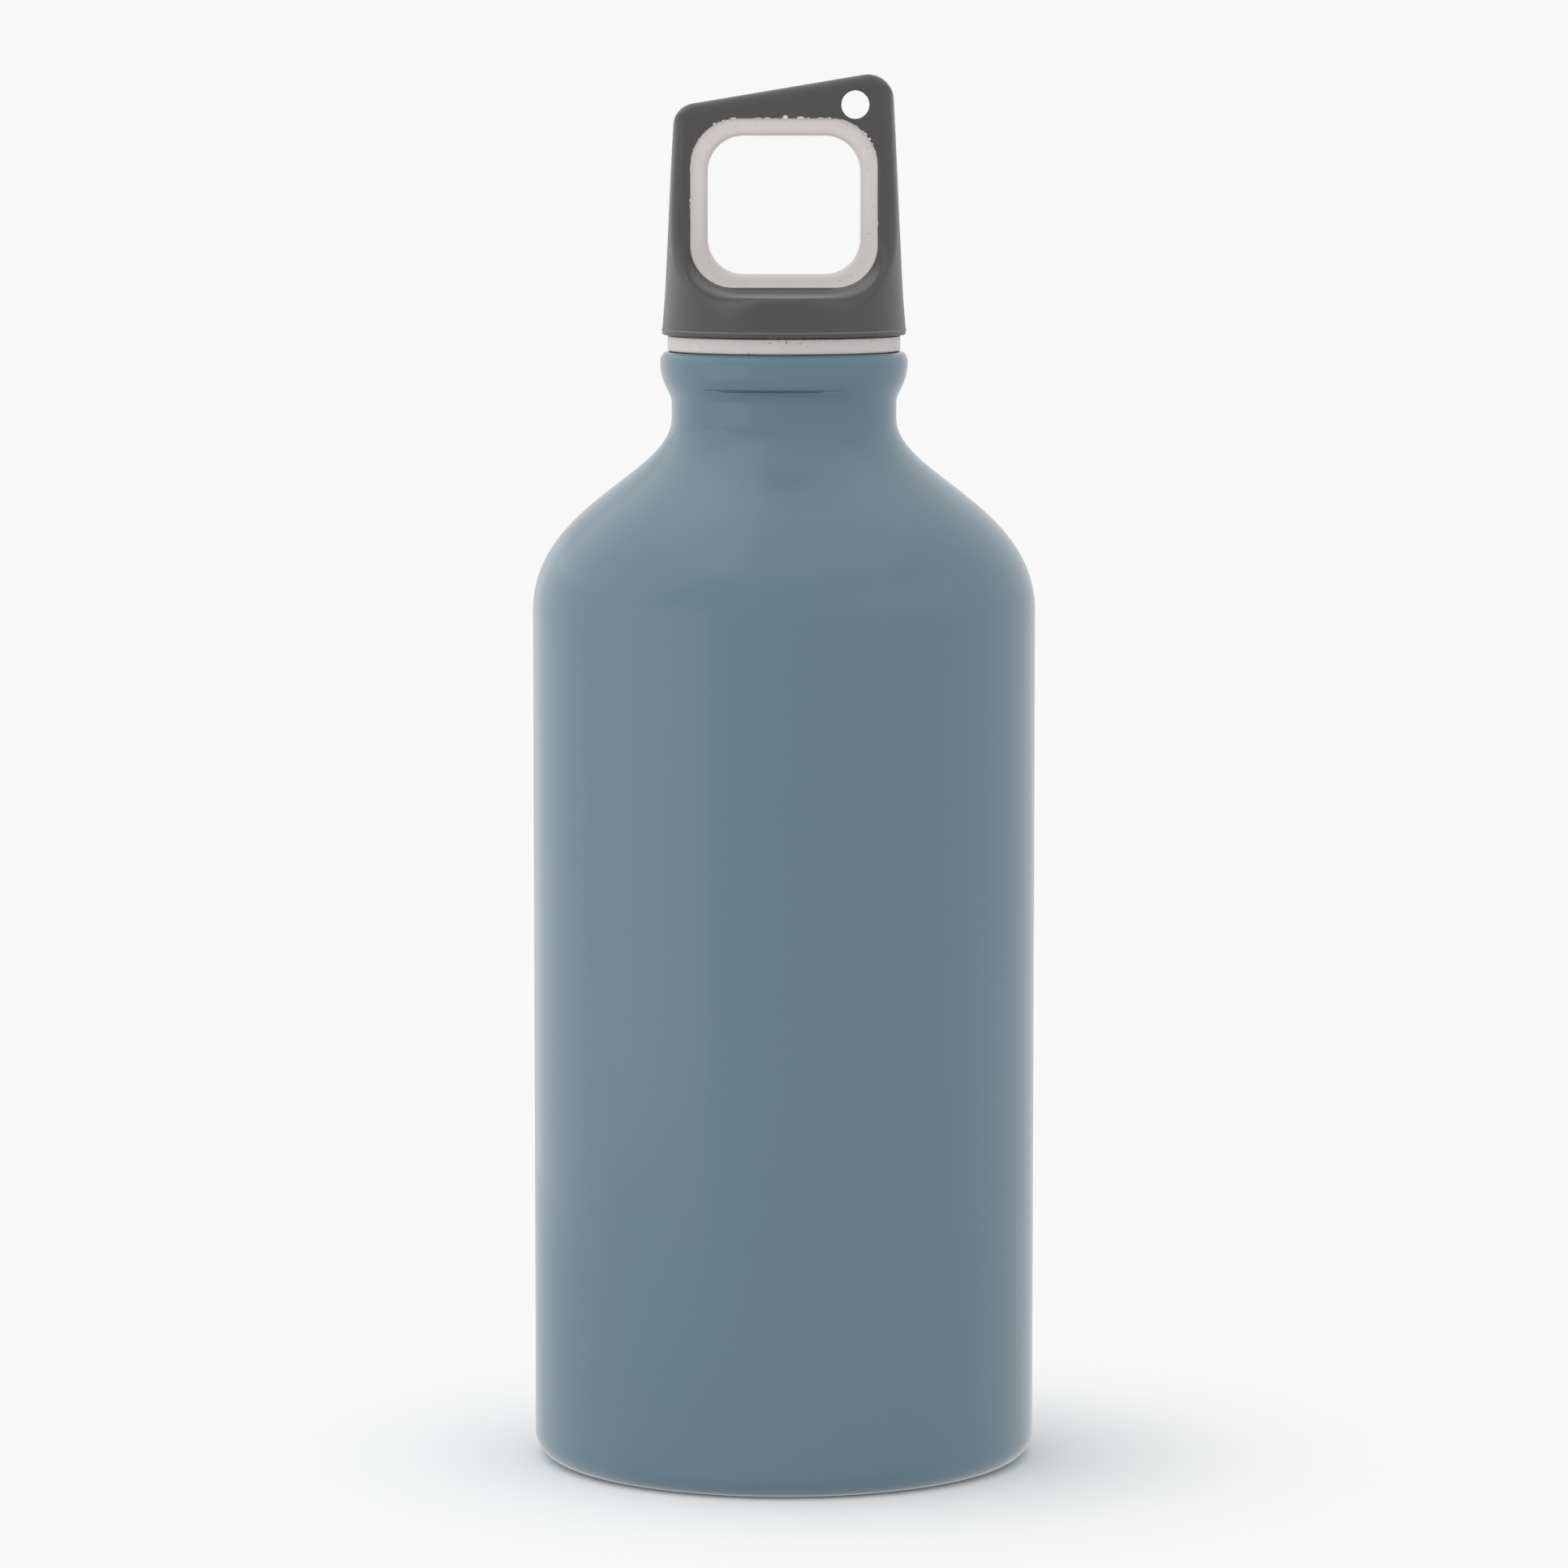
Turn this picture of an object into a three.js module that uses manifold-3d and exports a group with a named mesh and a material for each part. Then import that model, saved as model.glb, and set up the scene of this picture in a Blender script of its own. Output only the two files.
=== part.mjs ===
// An aluminium drinking bottle with a screw-in loop cap.
// Lengths are in millimetres and +Z is up. The origin is the middle of the plane that the bottle
// stands on. The cap's front faces -Y, and the high corner of its carrying loop is on the +X side.

import * as THREE from 'three';
import { mergeVertices } from 'three/addons/utils/BufferGeometryUtils.js';
import Module from 'manifold-3d';

const wasm = await Module();
wasm.setup();

// Bottle body, drawn from one slug of aluminium
const BODY_DIAMETER = 73;
const BODY_WALL = 0.8;
const BASE_WALL = 1;
const BASE_CORNER = 3.6; // radius between the wall and the standing ring
const STANDING_RING = 6; // width of the flat ring that the bottle stands on
const BASE_DOME = 4.5; // how far the middle of the base is pushed in
const STRAIGHT_HEIGHT = 124.1; // where the wall ends and the shoulder starts
const SHOULDER_HEIGHT = 28;
const SHOULDER_FULLNESS = 15.6; // how far the shoulder's curve keeps to the wall
const NECK_SWEEP = 8.3; // how far the shoulder's curve keeps to the neck
const NECK_DIAMETER = 32.6;
const NECK_LENGTH = 2.2;

// Lip, the edge of the neck rolled outwards and down
const LIP_PROJECTION = 1.65; // past the neck
const LIP_BLEND = 2.4; // height of the flare below the roll's edge
const LIP_FLARE = 0.7; // radius that the flare gains
const ROLL_HEIGHT = 5.05; // from the roll's edge to the top of the lip
const ROLL_CROWN = 1.5; // from the widest place to the top
const ROLL_GAP = 0.3; // crease where the roll's edge meets the neck
const ROLL_GAP_DEPTH = 0.35;
const LIP_FLAT = 0.45; // flat land on top
const MOUTH_CHAMFER = 0.9;

// Screw thread between the neck insert and the cap's plug, right-handed
const THREAD_PITCH = 4;
const THREAD_DEPTH = 1.2;
const THREAD_FLANK = 25; // degrees
const THREAD_CLEARANCE = 0.35;
const THREAD_LEAD = 1; // plain length at each end of a thread
const THREAD_RUN_IN = 40; // degrees over which a ridge grows to its full depth
const RIDGE_ROOT = 0.4; // how far a ridge reaches into the wall that carries it

// Neck insert
const INSERT_WALL = 1.75;
const INSERT_CATCH = 0.6; // step that holds it under the neck
const INSERT_CATCH_HEIGHT = 1.6;
const INSERT_LEAD_IN = 0.5;

// Cap core: plug, collar, boss and the liner ring of the loop
const PLUG_WALL = 2;
const PLUG_REACH = 0.9; // past the lower end of the insert
const PLUG_CHAMFER = 0.6;
const PLUG_DECK = 2; // roof over the plug's hollow
const COLLAR_SETBACK = 1.1; // from the lip's widest place
const COLLAR_RIM = 0.8; // wall round the seal's groove
const COLLAR_WEB = 0.7; // thickness over the seal
const COLLAR_ROUND = 0.3;
const SEAL_THICKNESS = 1.3;
const SEAL_ROUND = 0.3;

// Cap shell: skirt and carrying loop
const SKIRT_OVERHANG = 0.82; // past the collar
const SKIRT_EDGE = 0.4; // rounding of the lower edge
const SKIRT_WALL = 3.2; // round the boss
const SKIRT_HEIGHT = 6.66; // from the lower edge to the liner ring
const SKIRT_FLARE = 0.48; // extra spread of the skirt's foot
const SKIRT_FLARE_HEIGHT = 5.9;
const SHELL_DECK = 1.7; // thickness over the boss
const LOOP_TAPER = 2.65; // degrees
const LOOP_THICKNESS = 9;
const LOOP_RIM = 3.1; // beside the liner ring
const LOOP_SIDE_FLAT = 0.12; // depth of the flats that the loop's sides grow towards the top
const LOOP_SLANT = 9.5; // degrees, rising towards +X
const LOOP_CORNER_LOW = 3.3;
const LOOP_CORNER_HIGH = 3.75;
const SCOOP_RADIUS = 11.5; // corners of the hollow in front of the loop
const SCOOP_FALL = 0.2; // how much lower the hollow is at the skirt than at the loop
const RING_HEIGHT = 24.4;
const RING_SIDE = 2.45; // width of the liner ring's uprights
const RING_BAR_TOP = 2.5; // width of its upper cross bar
const RING_BAR_FOOT = 1.9;
const RING_CORNER_TOP = 6.9;
const RING_CORNER_FOOT = 6.4;
const WINDOW_CORNER = 5.2;
const RING_SQUARENESS = 7; // how flat its faces are: 2 is an ellipse, and more is flatter
const TANG_COVER = 2; // shell over each face of the tang that carries the liner ring
const LANYARD_HOLE = 4.1;
const LANYARD_BEARING = 67.3; // degrees from +X, seen from the centre of the ring's corner
const LANYARD_RING_WALL = 0.4; // shell between the hole and the liner ring
const LANYARD_TOP_WALL = 2; // shell between the hole and the loop's top

// Gaps between pieces
const FIT = 0.25; // between pieces that are fixed together
const CAP_GAP = 0.25; // between the lip and the closed cap's collar
const SEAL_GAP = 0.15; // round the seal

// Smoothness
const ROUND_STEPS = 48; // sides of a turned piece
const SHOULDER_STEPS = 10;
const ARC_STEPS = 3;
const LINER_STEPS = 6; // sides of the liner ring's rounded section
const THREAD_STEPS = 24; // per turn
const HALVINGS = 24; // of the search for a height on the shoulder

const radians = THREE.MathUtils.degToRad;

// Joining and skinning helpers

// A geometry as a closed solid that can be joined and cut.
function solid(geometry) {
  const bare = geometry.clone();
  bare.deleteAttribute('normal');
  bare.deleteAttribute('uv');
  const merged = mergeVertices(bare);
  const corners = merged.index.array;
  const kept = [];
  for (let i = 0; i < corners.length; i += 3) {
    const [a, b, c] = corners.slice(i, i + 3);
    if (a !== b && b !== c && c !== a) kept.push(a, b, c);
  }
  return new wasm.Manifold(
    new wasm.Mesh({
      numProp: 3,
      vertProperties: merged.attributes.position.array,
      triVerts: Uint32Array.from(kept),
    }),
  );
}

// A named piece of the object.
function piece(name, made, material) {
  const { vertProperties, triVerts } = made.getMesh();
  const geometry = new THREE.BufferGeometry();
  geometry.setAttribute('position', new THREE.BufferAttribute(vertProperties, 3));
  geometry.setIndex(new THREE.BufferAttribute(triVerts, 1));
  geometry.computeVertexNormals();
  const mesh = new THREE.Mesh(geometry, material);
  mesh.name = name;
  return mesh;
}

// Turns an outline of (radius, height) points about the Z axis.
function turned(outline) {
  const points = outline.map(([radius, height]) => new THREE.Vector2(radius, height));
  return solid(new THREE.LatheGeometry(points, ROUND_STEPS).rotateX(Math.PI / 2));
}

// Turns an outline that stays off the axis, closing it on its first point.
function turnedRing(outline) {
  return turned([...outline, outline[0]]);
}

// Pushes an outline in (x, z) through a depth along Y, half of it on each side of the XZ plane.
function pushedThrough(shape, depth) {
  const options = { depth, bevelEnabled: false, curveSegments: 2 * ARC_STEPS };
  const geometry = new THREE.ExtrudeGeometry(shape, options);
  return solid(geometry.translate(0, 0, -depth / 2).rotateX(Math.PI / 2));
}

// Skins sections of equally many points. A looped skin joins its last section to its first, and
// any other skin is closed by its end sections.
function skinned(sections, looped) {
  const size = sections[0].length;
  const spans = looped ? sections.length : sections.length - 1;
  const index = [];
  for (let i = 0; i < spans; i++) {
    const here = i * size;
    const next = ((i + 1) % sections.length) * size;
    for (let j = 0; j < size; j++) {
      const k = (j + 1) % size;
      index.push(here + j, here + k, next + k);
      index.push(here + j, next + k, next + j);
    }
  }
  if (!looped) {
    const end = (sections.length - 1) * size;
    for (let j = 1; j < size - 1; j++) {
      index.push(0, j + 1, j);
      index.push(end, end + j, end + j + 1);
    }
  }
  const geometry = new THREE.BufferGeometry().setFromPoints(sections.flat());
  return solid(geometry.setIndex(index));
}

// A closed outline through the given corners, anticlockwise, each rounded by its own radius.
function roundedOutline(corners) {
  const shape = new THREE.Shape();
  corners.forEach(({ point, radius }, i) => {
    const inward = point.clone().sub(corners.at(i - 1).point).normalize();
    const outward = corners[(i + 1) % corners.length].point.clone().sub(point).normalize();
    const turn = Math.acos(inward.dot(outward));
    const start = point.clone().addScaledVector(inward, -radius * Math.tan(turn / 2));
    const centre = start.clone().add(new THREE.Vector2(-inward.y, inward.x).multiplyScalar(radius));
    const angle = Math.atan2(start.y - centre.y, start.x - centre.x);
    shape.absarc(centre.x, centre.y, radius, angle, angle + turn, false);
  });
  return shape.closePath();
}

function corner(x, z, radius) {
  return { point: new THREE.Vector2(x, z), radius };
}

// The points of a closed outline, without the one that repeats its first.
function outlinePoints(shape) {
  return shape.getPoints(ARC_STEPS).slice(0, -1);
}

// A rectangle in (x, z) with its own corner radius at the foot and at the top.
function roundedPane(halfWidth, foot, top, footRadius, topRadius) {
  return roundedOutline([
    corner(-halfWidth, foot, footRadius),
    corner(halfWidth, foot, footRadius),
    corner(halfWidth, top, topRadius),
    corner(-halfWidth, top, topRadius),
  ]);
}

// Bottle body

const bodyRadius = BODY_DIAMETER / 2;
const neckRadius = NECK_DIAMETER / 2;
const boreRadius = neckRadius - BODY_WALL;
const lipRadius = neckRadius + LIP_PROJECTION;
const shoulderTop = STRAIGHT_HEIGHT + SHOULDER_HEIGHT;
const neckTop = shoulderTop + NECK_LENGTH;
const rollEdge = neckTop + LIP_BLEND;
const lipTop = rollEdge + ROLL_HEIGHT;

const shoulder = new THREE.CubicBezierCurve(
  new THREE.Vector2(bodyRadius, STRAIGHT_HEIGHT),
  new THREE.Vector2(bodyRadius, STRAIGHT_HEIGHT + SHOULDER_FULLNESS),
  new THREE.Vector2(neckRadius, shoulderTop - NECK_SWEEP),
  new THREE.Vector2(neckRadius, shoulderTop),
);

// A point on the inside of the shoulder, one wall in from its outside. The share runs from 0 at the
// straight wall to 1 at the neck.
function shoulderInside(share) {
  const along = shoulder.getTangent(share);
  const inwards = new THREE.Vector2(-along.y, along.x);
  return shoulder.getPoint(share).addScaledVector(inwards, BODY_WALL);
}

// The height at which the inside of the shoulder has closed to a radius.
function shoulderHeightAt(radius) {
  let wide = 0;
  let narrow = 1;
  for (let i = 0; i < HALVINGS; i++) {
    const middle = (wide + narrow) / 2;
    if (shoulderInside(middle).x > radius) wide = middle;
    else narrow = middle;
  }
  return shoulderInside(wide).y;
}

function bottleBody() {
  const ringOuter = bodyRadius - BASE_CORNER;
  const ringInner = ringOuter - STANDING_RING;
  const domeRadius = (ringInner ** 2 + BASE_DOME ** 2) / (2 * BASE_DOME);
  const domeCentre = BASE_DOME - domeRadius;
  const insideDome = domeRadius + BASE_WALL;
  const insideRing = Math.sqrt(insideDome ** 2 - (BASE_WALL - domeCentre) ** 2);
  const flareRadius = neckRadius + LIP_FLARE;
  const crown = lipTop - ROLL_CROWN;
  const landOuter = boreRadius + MOUTH_CHAMFER + LIP_FLAT;

  const base = new THREE.Path();
  base.absarc(0, domeCentre, domeRadius, Math.PI / 2, Math.atan2(-domeCentre, ringInner), true);
  base.lineTo(ringOuter, 0);
  base.absarc(ringOuter, BASE_CORNER, BASE_CORNER, -Math.PI / 2, 0, false);

  const lip = new THREE.Path();
  lip.moveTo(neckRadius, neckTop);
  lip.quadraticCurveTo(neckRadius, rollEdge - LIP_FLARE, flareRadius, rollEdge);
  lip.lineTo(flareRadius - ROLL_GAP_DEPTH, rollEdge + ROLL_GAP / 2);
  lip.lineTo(flareRadius, rollEdge + ROLL_GAP);
  lip.quadraticCurveTo(lipRadius, (rollEdge + crown) / 2, lipRadius, crown);
  lip.absellipse(landOuter, crown, lipRadius - landOuter, ROLL_CROWN, 0, Math.PI / 2, false, 0);
  lip.lineTo(boreRadius + MOUTH_CHAMFER, lipTop);
  lip.lineTo(boreRadius, lipTop - MOUTH_CHAMFER);

  const floor = new THREE.Path();
  const floorRise = BASE_CORNER - BASE_WALL;
  floor.absellipse(ringOuter, BASE_CORNER, BASE_CORNER - BODY_WALL, floorRise, 0, -Math.PI / 2, true, 0);
  floor.lineTo(insideRing, BASE_WALL);
  floor.absarc(0, domeCentre, insideDome, Math.atan2(BASE_WALL - domeCentre, insideRing), Math.PI / 2, false);

  const inside = Array.from({ length: SHOULDER_STEPS + 1 }, (_, i) => shoulderInside(i / SHOULDER_STEPS));
  const outline = [
    ...base.getPoints(ARC_STEPS),
    ...shoulder.getPoints(SHOULDER_STEPS),
    ...lip.getPoints(ARC_STEPS),
    ...inside.toReversed(),
    ...floor.getPoints(ARC_STEPS),
  ];
  return turned(outline.map(({ x, y }) => [Math.max(x, 0), y]));
}

// Neck insert and thread, in a frame whose origin is the middle of the mouth, level with the lip

const insertRadius = boreRadius - FIT;
const insertRoot = insertRadius - INSERT_WALL;
const insertCrest = insertRoot - THREAD_DEPTH;
const plugCrest = insertRoot - THREAD_CLEARANCE;
const plugRoot = plugCrest - THREAD_DEPTH;
const plugHollow = plugRoot - PLUG_WALL;

// The catch sits where the shoulder has opened far enough to let it spring out.
const catchRadius = insertRadius + INSERT_CATCH;
const catchTop = shoulderHeightAt(catchRadius + FIT) - lipTop;
const insertFoot = catchTop - INSERT_CATCH_HEIGHT;
const plugFoot = insertFoot - PLUG_REACH;

const flankRun = THREAD_DEPTH * Math.tan(radians(THREAD_FLANK));
const ridgeMiddle = THREAD_PITCH / 2 - THREAD_CLEARANCE;
const ridgeCrestWidth = ridgeMiddle - flankRun;
const ridgeRootWidth = ridgeMiddle + flankRun;
const helixStart = plugFoot + THREAD_LEAD + ridgeRootWidth / 2;
const helixEnd = -THREAD_LEAD - ridgeRootWidth / 2;

// A helical ridge between two heights of its middle. It stands out from the root radius to the crest
// radius, and turns with the helix that passes +X at the given height.
function threadRidge(root, crest, from, to, passes) {
  const outwards = Math.sign(crest - root);
  const buried = root - outwards * RIDGE_ROOT;
  const turns = (to - from) / THREAD_PITCH;
  const steps = Math.ceil(turns * THREAD_STEPS);
  const runIn = THREAD_RUN_IN / 360 / turns;
  const sections = Array.from({ length: steps + 1 }, (_, i) => {
    const share = i / steps;
    const height = from + (to - from) * share;
    const angle = (2 * Math.PI * (height - passes)) / THREAD_PITCH;
    const grown = Math.min(1, share / runIn, (1 - share) / runIn);
    const edge = root + (crest - root) * grown;
    const section = [
      [buried, -ridgeRootWidth / 2],
      [edge, -ridgeCrestWidth / 2],
      [edge, ridgeCrestWidth / 2],
      [buried, ridgeRootWidth / 2],
    ];
    if (outwards > 0) section.reverse();
    return section.map(
      ([radius, rise]) =>
        new THREE.Vector3(radius * Math.cos(angle), radius * Math.sin(angle), height + rise),
    );
  });
  return skinned(sections, false);
}

function neckInsert() {
  const diagonal = Math.SQRT2 * FIT;
  const ring = turnedRing([
    [insertRoot, insertFoot],
    [insertRadius, insertFoot],
    [catchRadius, catchTop - INSERT_CATCH],
    [catchRadius, catchTop],
    [insertRadius, catchTop],
    [insertRadius, -MOUTH_CHAMFER + diagonal - FIT],
    [boreRadius + MOUTH_CHAMFER - diagonal, 0],
    [insertRoot + INSERT_LEAD_IN, 0],
    [insertRoot, -INSERT_LEAD_IN],
  ]);
  const from = insertFoot + THREAD_LEAD + ridgeRootWidth / 2;
  const passes = helixStart + THREAD_PITCH / 2;
  return ring.add(threadRidge(insertRoot, insertCrest, from, helixEnd, passes));
}

// Cap, in the same frame

const collarRadius = lipRadius - COLLAR_SETBACK;
const sealInner = plugCrest + SEAL_GAP;
const sealOuter = collarRadius - COLLAR_RIM - SEAL_GAP;
const sealTop = SEAL_GAP + SEAL_THICKNESS;
const grooveTop = sealTop + SEAL_GAP;
const collarTop = grooveTop + COLLAR_WEB;
const skirtFoot = collarTop + FIT;
const skirtRadius = collarRadius + SKIRT_OVERHANG;
const flareTop = skirtFoot + SKIRT_FLARE_HEIGHT;
const bossRadius = skirtRadius - SKIRT_WALL;
const ringFoot = skirtFoot + SKIRT_HEIGHT;
const ringTop = ringFoot + RING_HEIGHT;
const loopFace = LOOP_THICKNESS / 2;

function loopRadiusAt(height) {
  return skirtRadius - SKIRT_FLARE - (height - flareTop) * Math.tan(radians(LOOP_TAPER));
}

const ringHalf = loopRadiusAt((ringFoot + ringTop) / 2) - LOOP_RIM;
const windowHalf = ringHalf - RING_SIDE;

// The hollows in front of the loop and behind it fall from the loop's face to the skirt.
const scoopFoot = ringFoot - 2 * FIT;
const scoopEdge = skirtRadius + FIT;

function scoopFootAt(depth) {
  return scoopFoot - (SCOOP_FALL * (depth - loopFace)) / (scoopEdge - loopFace);
}

const bossTop = scoopFootAt(bossRadius) - SHELL_DECK;

// The lanyard hole keeps its distance from the liner ring, and the loop's top keeps its distance
// from the hole.
const holeRadius = LANYARD_HOLE / 2;
const holeReach = RING_CORNER_TOP + FIT + LANYARD_RING_WALL + holeRadius;
const holeX = ringHalf - RING_CORNER_TOP + holeReach * Math.cos(radians(LANYARD_BEARING));
const holeZ = ringTop - RING_CORNER_TOP + holeReach * Math.sin(radians(LANYARD_BEARING));
const topRise = (holeRadius + LANYARD_TOP_WALL) / Math.cos(radians(LOOP_SLANT));

function loopTopAt(x) {
  return holeZ + topRise + (x - holeX) * Math.tan(radians(LOOP_SLANT));
}

function capSeal() {
  return turnedRing([
    [sealInner, SEAL_GAP],
    [sealOuter - SEAL_ROUND, SEAL_GAP],
    [sealOuter, SEAL_GAP + SEAL_ROUND],
    [sealOuter, sealTop],
    [sealInner, sealTop],
  ]);
}

// The liner ring of the loop: a flat back against the shell, nearly flat faces and a rounded inner
// side.
function linerRing() {
  const outer = roundedPane(ringHalf, ringFoot, ringTop, RING_CORNER_FOOT, RING_CORNER_TOP);
  const inner = roundedPane(
    windowHalf,
    ringFoot + RING_BAR_FOOT,
    ringTop - RING_BAR_TOP,
    WINDOW_CORNER,
    WINDOW_CORNER,
  );
  const innerPoints = outlinePoints(inner);
  const power = 2 / RING_SQUARENESS;
  const sections = outlinePoints(outer).map((point, i) =>
    Array.from({ length: LINER_STEPS + 1 }, (_, j) => {
      const angle = (Math.PI * j) / LINER_STEPS;
      const depth = Math.cos(angle);
      const at = point.clone().lerp(innerPoints[i], Math.sin(angle) ** power);
      return new THREE.Vector3(at.x, loopFace * Math.sign(depth) * Math.abs(depth) ** power, at.y);
    }),
  );
  return skinned(sections, true);
}

function capCore() {
  const turnedPart = turned([
    [0, bossTop - PLUG_DECK],
    [plugHollow, bossTop - PLUG_DECK],
    [plugHollow, plugFoot],
    [plugRoot - PLUG_CHAMFER, plugFoot],
    [plugRoot, plugFoot + PLUG_CHAMFER],
    [plugRoot, grooveTop],
    [sealOuter + SEAL_GAP, grooveTop],
    [sealOuter + SEAL_GAP, CAP_GAP],
    [collarRadius - COLLAR_ROUND, CAP_GAP],
    [collarRadius, CAP_GAP + COLLAR_ROUND],
    [collarRadius, collarTop],
    [bossRadius, collarTop],
    [bossRadius, bossTop],
    [0, bossTop],
  ]);
  const tangHalf = ringHalf - RING_CORNER_FOOT;
  const tangFoot = bossTop - PLUG_DECK / 2;
  const tangTop = ringFoot + RING_BAR_FOOT / 2;
  const tang = new THREE.BoxGeometry(2 * tangHalf, LOOP_THICKNESS - 2 * TANG_COVER, tangTop - tangFoot);
  tang.translate(0, 0, (tangFoot + tangTop) / 2);
  return turnedPart
    .add(threadRidge(plugRoot, plugCrest, helixStart, helixEnd, helixStart))
    .add(solid(tang))
    .add(linerRing());
}

// The cutter for the hollow on one face of the loop. Side is -1 for the front and 1 for the back.
function scoop(side) {
  const top = loopTopAt(skirtRadius) + LOOP_THICKNESS;
  const near = roundedPane(scoopEdge, scoopFoot, top, SCOOP_RADIUS, 0);
  const far = roundedPane(scoopEdge, scoopFoot - SCOOP_FALL, top, SCOOP_RADIUS, 0);
  const placed = (shape, depth) =>
    outlinePoints(shape).map(({ x, y }) => new THREE.Vector3(x, side * depth, y));
  const sections = [placed(near, loopFace), placed(far, scoopEdge)];
  if (side > 0) sections.reverse();
  return skinned(sections, false);
}

function capShell() {
  const loopTop = loopTopAt(skirtRadius);
  const cone = turned([
    [0, skirtFoot],
    [skirtRadius - SKIRT_EDGE, skirtFoot],
    [skirtRadius, skirtFoot + SKIRT_EDGE],
    [skirtRadius - SKIRT_FLARE, flareTop],
    [loopRadiusAt(loopTop), loopTop],
    [0, loopTop],
  ]);
  const highHalf = loopRadiusAt(loopTopAt(bossRadius)) - LOOP_SIDE_FLAT;
  const lowHalf = loopRadiusAt(loopTopAt(-bossRadius)) - LOOP_SIDE_FLAT;
  const footHalf = skirtRadius + LOOP_SIDE_FLAT;
  const front = roundedOutline([
    corner(-footHalf, skirtFoot - FIT, 0),
    corner(footHalf, skirtFoot - FIT, 0),
    corner(highHalf, loopTopAt(highHalf), LOOP_CORNER_HIGH),
    corner(-lowHalf, loopTopAt(-lowHalf), LOOP_CORNER_LOW),
  ]);
  const ringSeat = roundedPane(
    ringHalf + FIT,
    ringFoot - FIT,
    ringTop + FIT,
    RING_CORNER_FOOT + FIT,
    RING_CORNER_TOP + FIT,
  );
  const bossSeat = turned([
    [0, skirtFoot - FIT],
    [bossRadius + FIT, skirtFoot - FIT],
    [bossRadius + FIT, bossTop + FIT],
    [0, bossTop + FIT],
  ]);
  const tangHalf = ringHalf - RING_CORNER_FOOT + FIT;
  const tangDepth = LOOP_THICKNESS - 2 * TANG_COVER + 2 * FIT;
  const tangSeat = new THREE.BoxGeometry(2 * tangHalf, tangDepth, ringFoot - bossTop);
  tangSeat.translate(0, 0, (bossTop + ringFoot) / 2);
  const hole = new THREE.CylinderGeometry(holeRadius, holeRadius, 2 * skirtRadius, ROUND_STEPS / 2);
  hole.translate(holeX, 0, holeZ);
  return cone
    .intersect(pushedThrough(front, 3 * skirtRadius))
    .subtract(scoop(-1))
    .subtract(scoop(1))
    .subtract(pushedThrough(ringSeat, 3 * skirtRadius))
    .subtract(bossSeat)
    .subtract(solid(tangSeat))
    .subtract(solid(hole));
}

// Materials

const paintedAluminium = new THREE.MeshStandardMaterial({
  color: 0x647c8a,
  roughness: 0.45,
  metalness: 0.1,
});
const whitePolypropylene = new THREE.MeshStandardMaterial({ color: 0xd2ccc7, roughness: 0.5 });
const greyPolypropylene = new THREE.MeshStandardMaterial({ color: 0x504f4e, roughness: 0.6 });
const silicone = new THREE.MeshStandardMaterial({ color: 0xc9c8c3, roughness: 0.7 });

// Assembly

const neck = new THREE.Group();
neck.position.z = lipTop;
neck.add(piece('neck_thread_insert', neckInsert(), whitePolypropylene));

const cap = new THREE.Group();
cap.position.z = lipTop;
cap.add(
  piece('cap_seal', capSeal(), silicone),
  piece('cap_core', capCore(), whitePolypropylene),
  piece('cap_shell', capShell(), greyPolypropylene),
);

const bottle = new THREE.Group();
bottle.add(piece('bottle_body', bottleBody(), paintedAluminium), neck, cap);

export default bottle;
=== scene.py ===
"""A studio picture of a painted aluminium drinking bottle with a screw-in loop cap.

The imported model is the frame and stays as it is. Each of its five nodes is stood for by a finer mesh of the
same size in the same place. Lengths are in millimetres unless a name ends in _m, angles are in degrees, and
heights on the neck and the cap are measured from the top of the bottle's lip.
"""

import logging
import math
from collections.abc import Callable, Sequence
from dataclasses import dataclass, field
from enum import Enum
from functools import reduce
from itertools import pairwise

import bpy
import numpy as np
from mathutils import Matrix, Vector


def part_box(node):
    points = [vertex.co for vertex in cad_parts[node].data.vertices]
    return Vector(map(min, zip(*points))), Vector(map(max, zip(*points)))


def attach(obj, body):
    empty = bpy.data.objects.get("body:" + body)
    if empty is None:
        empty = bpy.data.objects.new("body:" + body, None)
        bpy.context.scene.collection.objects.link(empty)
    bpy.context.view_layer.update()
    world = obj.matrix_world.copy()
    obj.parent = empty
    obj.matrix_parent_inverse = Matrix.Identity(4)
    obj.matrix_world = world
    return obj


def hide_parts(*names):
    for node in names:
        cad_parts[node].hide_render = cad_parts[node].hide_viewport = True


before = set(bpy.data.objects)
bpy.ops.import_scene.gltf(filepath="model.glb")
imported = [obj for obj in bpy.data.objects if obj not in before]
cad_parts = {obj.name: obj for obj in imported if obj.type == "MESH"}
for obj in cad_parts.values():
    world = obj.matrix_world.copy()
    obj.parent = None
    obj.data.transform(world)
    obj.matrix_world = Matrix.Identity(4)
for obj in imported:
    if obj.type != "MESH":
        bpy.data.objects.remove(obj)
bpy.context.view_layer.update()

MM = 0.001  # in metres
SHARP_EDGE = 38.0  # an edge that turns more than this stays sharp
NOISE_DETAIL = 3.0  # how many finer noises are laid over each noise
SPECK_FADE = 0.08  # level of noise over which the rim of a speck fades
NUDGE = 0.01  # how far to each side a distance is sampled to find its slope
LEAST_STEEPNESS = 0.2  # keeps a step towards a surface short where the distance is flat
HALVINGS = 20  # of a search between two places

log = logging.getLogger("drinking_bottle")

Pair = tuple[float, float]
Triple = tuple[float, float, float]
Links = dict[str | int, bpy.types.NodeSocket]


class Body(Enum):
    """The bodies of the frame that pieces ride on."""

    BOTTLE = "bottle"
    SEAL = "seal"
    CAP = "cap"


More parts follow.
